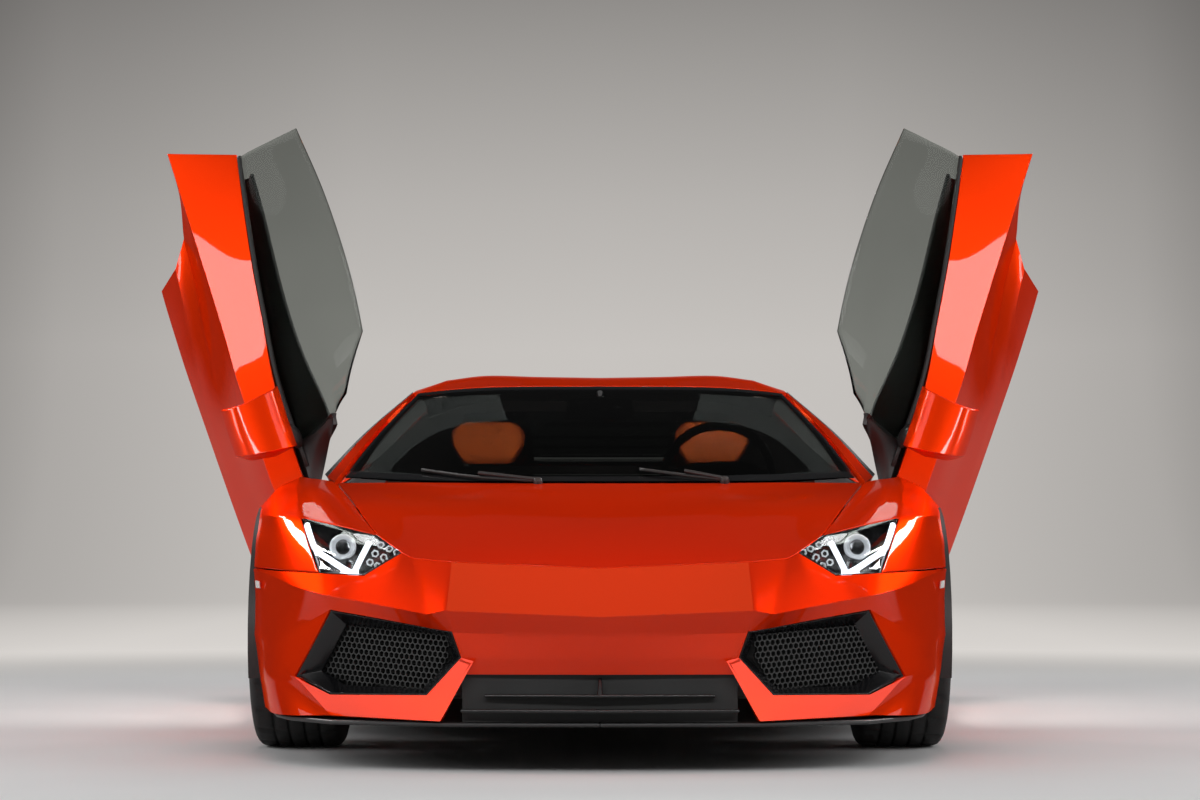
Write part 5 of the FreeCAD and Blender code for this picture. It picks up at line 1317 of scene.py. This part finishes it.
# Hood with the instrument screen in its mouth, air vents with their blades.
hood_shape = [(-150, 764), (-142, 808), (-96, 832), (0, 838), (96, 832), (142, 808), (150, 764)]
hood = [[(SEAT_X + x * g, y, 764 + (z - 764) * g) for x, z in hood_shape]
        for g, y in ((0.80, -640), (0.95, -590), (1.0, -456), (0.95, -452), (0.9, -474),
                     (0.88, -500))]
rounded(add(solid_rings(hood), "instrument_hood", DARK_LEATHER), 0.003, 30)
dial_screen = [[(SEAT_X + x * g, y, 768 + (z - 764) * g) for x, z in hood_shape]
               for g, y in ((0.78, -502), (0.78, -496))]
add(solid_rings(dial_screen), "instrument_screen", GLOSS, flat=True)
vents = []
for x in (-560, -170, 170, 590):
    vents.append(revolved([(38, -2), (44, 0), (46, 4), (38, 5), (34, 0)], (x, -486, 712),
                          (0, 0.97, -0.12), 6))
    for k in range(-1, 2):
        vents.append(box_mesh((x - 33, -487, 711 + 18 * k), (x + 33, -478, 714 + 18 * k)))
rounded(add(joined(*vents), "dashboard_vents", ALUMINIUM), 0.001, 30)

# Steering wheel with a flattened rim, in its own plane: across, up, towards the driver.
WHEEL_CENTRE = Vector((SEAT_X, -330, 790))
WHEEL_UP, WHEEL_OUT = Vector((0, -0.342, 0.94)), Vector((0, 0.94, 0.342))


def on_steering(across, up, out=0):
    return tuple(WHEEL_CENTRE + Vector((across, 0, 0)) + WHEEL_UP * up + WHEEL_OUT * out)


GRIP_RADIUS, GRIP_FLAT, GRIP_TURNS = 172, -148, 64
grip = [on_steering(GRIP_RADIUS * math.cos(a), max(GRIP_FLAT, GRIP_RADIUS * math.sin(a)))
        for a in (math.tau * k / GRIP_TURNS for k in range(GRIP_TURNS))]
rim = tube(grip, 14.5, 14, closed=True)
hub_shape = [(-66, 26), (-40, 44), (40, 44), (66, 26), (58, -34), (28, -62), (-28, -62),
             (-58, -34)]
hub = solid_rings([[on_steering(x * g, y * g, out) for x, y in hub_shape]
                   for g, out in ((0.9, -26), (1.0, -18), (1.0, 2), (0.9, 12), (0.4, 16))])
spokes = [solid_rings([[on_steering(x, y + h, out) for h, out in
                        ((-half, -10), (half, -10), (half, 2), (-half, 2))]
                       for x, y, half in path])
          for path in (((55, 6, 22), (110, 14, 14), (166, 16, 17)),
                       ((-55, 6, 22), (-110, 14, 14), (-166, 16, 17)))]
foot = [solid_rings([[on_steering(x + h, y, out) for h, out in
                      ((-9, -10), (9, -10), (9, 2), (-9, 2))]
                     for x, y in ((side * 22, -54), (side * 34, -142))]) for side in (-1, 1)]
rounded(add(rim, "steering_rim", DARK_LEATHER, "steering_wheel", "steering_wheel"), 0)
rounded(add(hub, "steering_hub", SATIN, "steering_wheel"), 0.003, 30)
rounded(add(joined(*spokes, *foot), "steering_spokes", ALUMINIUM, "steering_wheel"), 0.002, 30)
column = tube([on_steering(0, 0, -34), on_steering(0, -8, -170)], 34, 20)
rounded(add(column, "steering_column", SATIN), 0.003, 30)

def rear_end(point):
    return Vector((point.x, 2, point.z))


# Linings: floor, rear wall, beside the rear window and under the roof.
floor = [[(150, -560, 150), (690, -560, 150)], [(150, 570, 150), (690, 570, 150)]]
lining("cabin_carpet", both_sides([floor]), CARPET, inside=lambda p: Vector((p.x, p.y, -1)))
wall = [[(0, 590, 170), (350, 590, 170), (690, 590, 170)],
        [(0, 588, 850), (350, 588, 850), (722, 588, 850)]]
lining("rear_wall_lining", both_sides([wall]), CARPET, inside=rear_end)
for side, name in SIDES:
    strip = [[(474, 584, 1056), (604, 580, 1030)], [(474, 588, 850), (800, 596, 852)]]
    lining("quarter_lining_" + name, [sided(strip, side)], CARPET, inside=rear_end)
header = [[(0, 576, 1088), (374, 576, 1088), (500, 576, 1066), (592, 576, 1034)],
          [(0, 582, 1040), (374, 582, 1040), (480, 582, 1030), (570, 582, 1000)]]
lining("rear_header_lining", both_sides([header]), CARPET, inside=rear_end)
headliner = [[(x * 0.985, y + 8, z - 27) for x, y, z in row] for row in ROOF]
lining("headliner", both_sides([headliner]), CARPET, inside=lambda p: Vector((p.x, p.y, 2)))


# ---------------------------------------------------------------- brakes and hidden parts
def caliper_mesh(axle, middle):
    """A block that straddles the disc over a sixth of a turn, round the angle middle."""
    disc = axle["disc"]
    outer, inner = disc + 14, disc - 58
    section = [(20, inner), (24, inner + 12), (24, outer - 8), (16, outer), (-60, outer),
               (-66, outer - 8), (-66, inner + 12), (-62, inner), (-52, inner), (-52, disc + 6),
               (-9, disc + 6), (-9, inner)]
    return solid_rings([[(x, radius * math.sin(a), radius * math.cos(a)) for x, radius in section]
                        for a in (math.radians(middle + 5 * k) for k in range(-6, 7))])


for end, middle in (("front", 90), ("rear", 270)):
    for side, name in SIDES:
        turned = middle if side > 0 else 360 - middle
        body = "knuckle_" + name if end == "front" else "body"
        caliper = on_wheel(caliper_mesh(WHEELS[end], turned), WHEELS[end], side)
        rounded(add(caliper, "brake_caliper_%s_%s" % (end, name), CALIPER, body), 0.002, 35)
for node, material in {"chassis_tub": CARBON, "tub_sides": CARBON, "subframes": ALUMINIUM,
                       "undertray": SATIN, "engine_block": ALUMINIUM, "rear_glass": SCREEN,
                       "front_suspension": IRON, "rear_suspension": IRON,
                       "front_knuckle_left": IRON, "front_knuckle_right": IRON}.items():
    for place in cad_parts[node].material_slots:
        place.material = material

# ---------------------------------------------------------------- studio and camera
# Metres: the flat floor, the bend up to the wall round it, the wall's top, and where the lit
# floor fades into glowing paper.
FLAT_RADIUS, BEND, WALL_TOP = 24, 4, 14
FLOOR_FADE = (3.2, 8.0)
# Painted light falloff of the glowing paper as (metres, grey): from the middle, upwards, and to
# either side.
FLOOR_PAINTED_LIGHT = ((4, 0.80), (9, 0.72), (18, 0.66), (25, 0.60))
WALL_PAINTED_LIGHT = ((0, 0.95), (3.0, 0.95), (4.8, 0.78), (6.6, 0.56), (7.4, 0.46), (8.2, 0.06),
              (14.0, 0.02))
SIDE_PAINTED_LIGHT = ((0, 1.0), (3.0, 0.98), (6.5, 0.72), (9.0, 0.25), (12.0, 0.06))


def ramp_of(tree, factor, reach, stops):
    """Colour ramp over factor from 0 to reach through (place, grey) stops."""
    span = new_node(tree, "MapRange", Value=factor, From_Max=reach)
    ramp = new_node(tree, "ValToRGB", Fac=span.outputs["Result"])
    while len(ramp.color_ramp.elements) < len(stops):
        ramp.color_ramp.elements.new(0.5)
    for element, (place, grey) in zip(ramp.color_ramp.elements, stops):
        element.position = place / reach
        element.color = (grey, grey * 0.985, grey * 0.97, 1)
    return ramp.outputs["Color"]


def worked(tree, kind, operation, source):
    node = new_node(tree, kind)
    node.operation = operation
    tree.links.new(source, node.inputs[0])
    return node.outputs["Value"]


def product(tree, first, second):
    mix = new_node(tree, "Mix")
    mix.data_type = "RGBA"
    mix.blend_type = "MULTIPLY"
    return put(mix, Factor=1, A=first, B=second).outputs["Result"]


def studio_material():
    """White floor that runs into a glowing backdrop whose glow is painted light: grey, and dark
    overhead and far to either side.
    """
    material, tree, shader = new_material("backdrop_paper")
    place = object_place(tree)
    split = new_node(tree, "SeparateXYZ", Vector=place)
    distance = worked(tree, "VectorMath", "LENGTH", place)
    aside = worked(tree, "Math", "ABSOLUTE", split.outputs["X"])
    reach = FLAT_RADIUS + BEND
    shade = product(tree, ramp_of(tree, distance, reach, FLOOR_PAINTED_LIGHT),
                    ramp_of(tree, split.outputs["Z"], WALL_TOP, WALL_PAINTED_LIGHT))
    shade = product(tree, shade, ramp_of(tree, aside, reach, SIDE_PAINTED_LIGHT))
    # The paper glows with the painted light falloff; near the middle the floor is lit by the lamps
    # and keeps real shadows.
    glow = new_node(tree, "Emission", Color=shade)
    near, far = FLOOR_FADE
    fade = new_node(tree, "MapRange", Value=distance, From_Min=near, From_Max=far)
    fade.interpolation_type = "SMOOTHSTEP"
    mix = new_node(tree, "MixShader", Fac=fade.outputs["Result"])
    tree.links.new(shader.outputs["BSDF"], mix.inputs[1])
    tree.links.new(glow.outputs["Emission"], mix.inputs[2])
    put(tree.nodes["Material Output"], Surface=mix.outputs["Shader"])
    put(shader, Roughness=0.45, Specular_IOR_Level=0,
        Base_Color=ramp_between(tree, noise_in(tree, 0.6), (0.80,) * 3, (0.83,) * 3))
    return material


def studio():
    profile = [(radius, 0) for radius in (0.01, 4, 8, 12, 18, FLAT_RADIUS)]
    profile += [(FLAT_RADIUS + BEND * math.sin(a), BEND - BEND * math.cos(a))
                for a in (math.pi / 2 * k / 10 for k in range(1, 11))]
    profile += [(FLAT_RADIUS + BEND, z) for z in (8, WALL_TOP)]
    bm = bmesh.new()
    turns = 72
    angles = [math.tau * k / turns for k in range(turns)]
    rings = [[bm.verts.new((r * math.cos(a), r * math.sin(a), z)) for a in angles]
             for r, z in profile]
    for low, high in zip(rings, rings[1:]):
        for k in range(turns):
            bm.faces.new((low[k], low[(k + 1) % turns], high[(k + 1) % turns], high[k]))
    mesh = bpy.data.meshes.new("studio_floor")
    bm.to_mesh(mesh)
    bm.free()
    mesh.shade_smooth()
    mesh.materials.append(studio_material())
    obj = bpy.data.objects.new("studio_floor", mesh)
    bpy.context.collection.objects.link(obj)


def softbox(name, place, aim, width, height, power, diffuse=True, glossy=True,
            colour=(1, 1, 1)):
    light = bpy.data.lights.new(name, "AREA")
    light.shape = "RECTANGLE"
    light.size, light.size_y = width, height
    light.energy = power
    light.color = colour
    obj = bpy.data.objects.new(name, light)
    bpy.context.collection.objects.link(obj)
    obj.location = place
    obj.rotation_euler = (Vector(aim) - Vector(place)).to_track_quat("-Z", "Y").to_euler()
    obj.visible_diffuse, obj.visible_glossy = diffuse, glossy


studio()
softbox("overhead", (0, -1.0, 4.6), (0, -1.0, 0), 3.6, 4.0, 45, glossy=False)
softbox("front_top", (0, -5.6, 5.0), (0, -2.2, 0.5), 6.0, 3.0, 75)
# Lights called card, and the front strip, only show as highlights in the paint.
softbox("nose_card", (0, -0.55, 2.3), (0, -2.25, 0.5), 1.25, 0.7, 3.5, diffuse=False,
        colour=(1, 0.35, 0.1))
softbox("front_strip", (0, -6.2, 1.8), (0, -2.2, 0.45), 4.4, 0.3, 90, diffuse=False)
for side, name in SIDES:
    softbox("side_" + name, (side * 7.0, -2.4, 3.9), (side * 0.6, -1.4, 0.7), 7.0, 4.4, 230)
    softbox("rear_" + name, (side * 1.5, 4.4, 4.3), (side * 0.8, -1.2, 0.7), 1.6, 1.4, 60,
            glossy=False)
    softbox("cabin_" + name, (side * SEAT_X * MM, -0.24, 1.02), (side * SEAT_X * MM, 0.25, 0.9),
            0.3, 0.06, 20, glossy=False, colour=(1, 0.8, 0.75))
    softbox("crown_card_" + name, (side * 3.3, 0.9, 3.95), (side * 0.85, -1.7, 0.62), 0.6, 2.2,
            240, diffuse=False)
    softbox("door_card_" + name, (side * 5.64, -4.78, 1.0), (side * 1.15, -0.8, 1.2), 1.3, 1.9, 90,
            diffuse=False)

world = bpy.data.worlds.new("studio_air")
world.use_nodes = True
put(world.node_tree.nodes["Background"], Color=(0.8, 0.8, 0.8, 1), Strength=0.06)
bpy.context.scene.world = world

camera_data = bpy.data.cameras.new("camera")
camera_data.lens = 93.75
camera_data.sensor_width = 36
camera = bpy.data.objects.new("camera", camera_data)
camera.location = (0, -10.26, 0.558)
camera.rotation_euler = (math.radians(90 + 2.766), 0, 0)
bpy.context.collection.objects.link(camera)
bpy.context.scene.camera = camera
bpy.context.scene.view_settings.view_transform = "Standard"
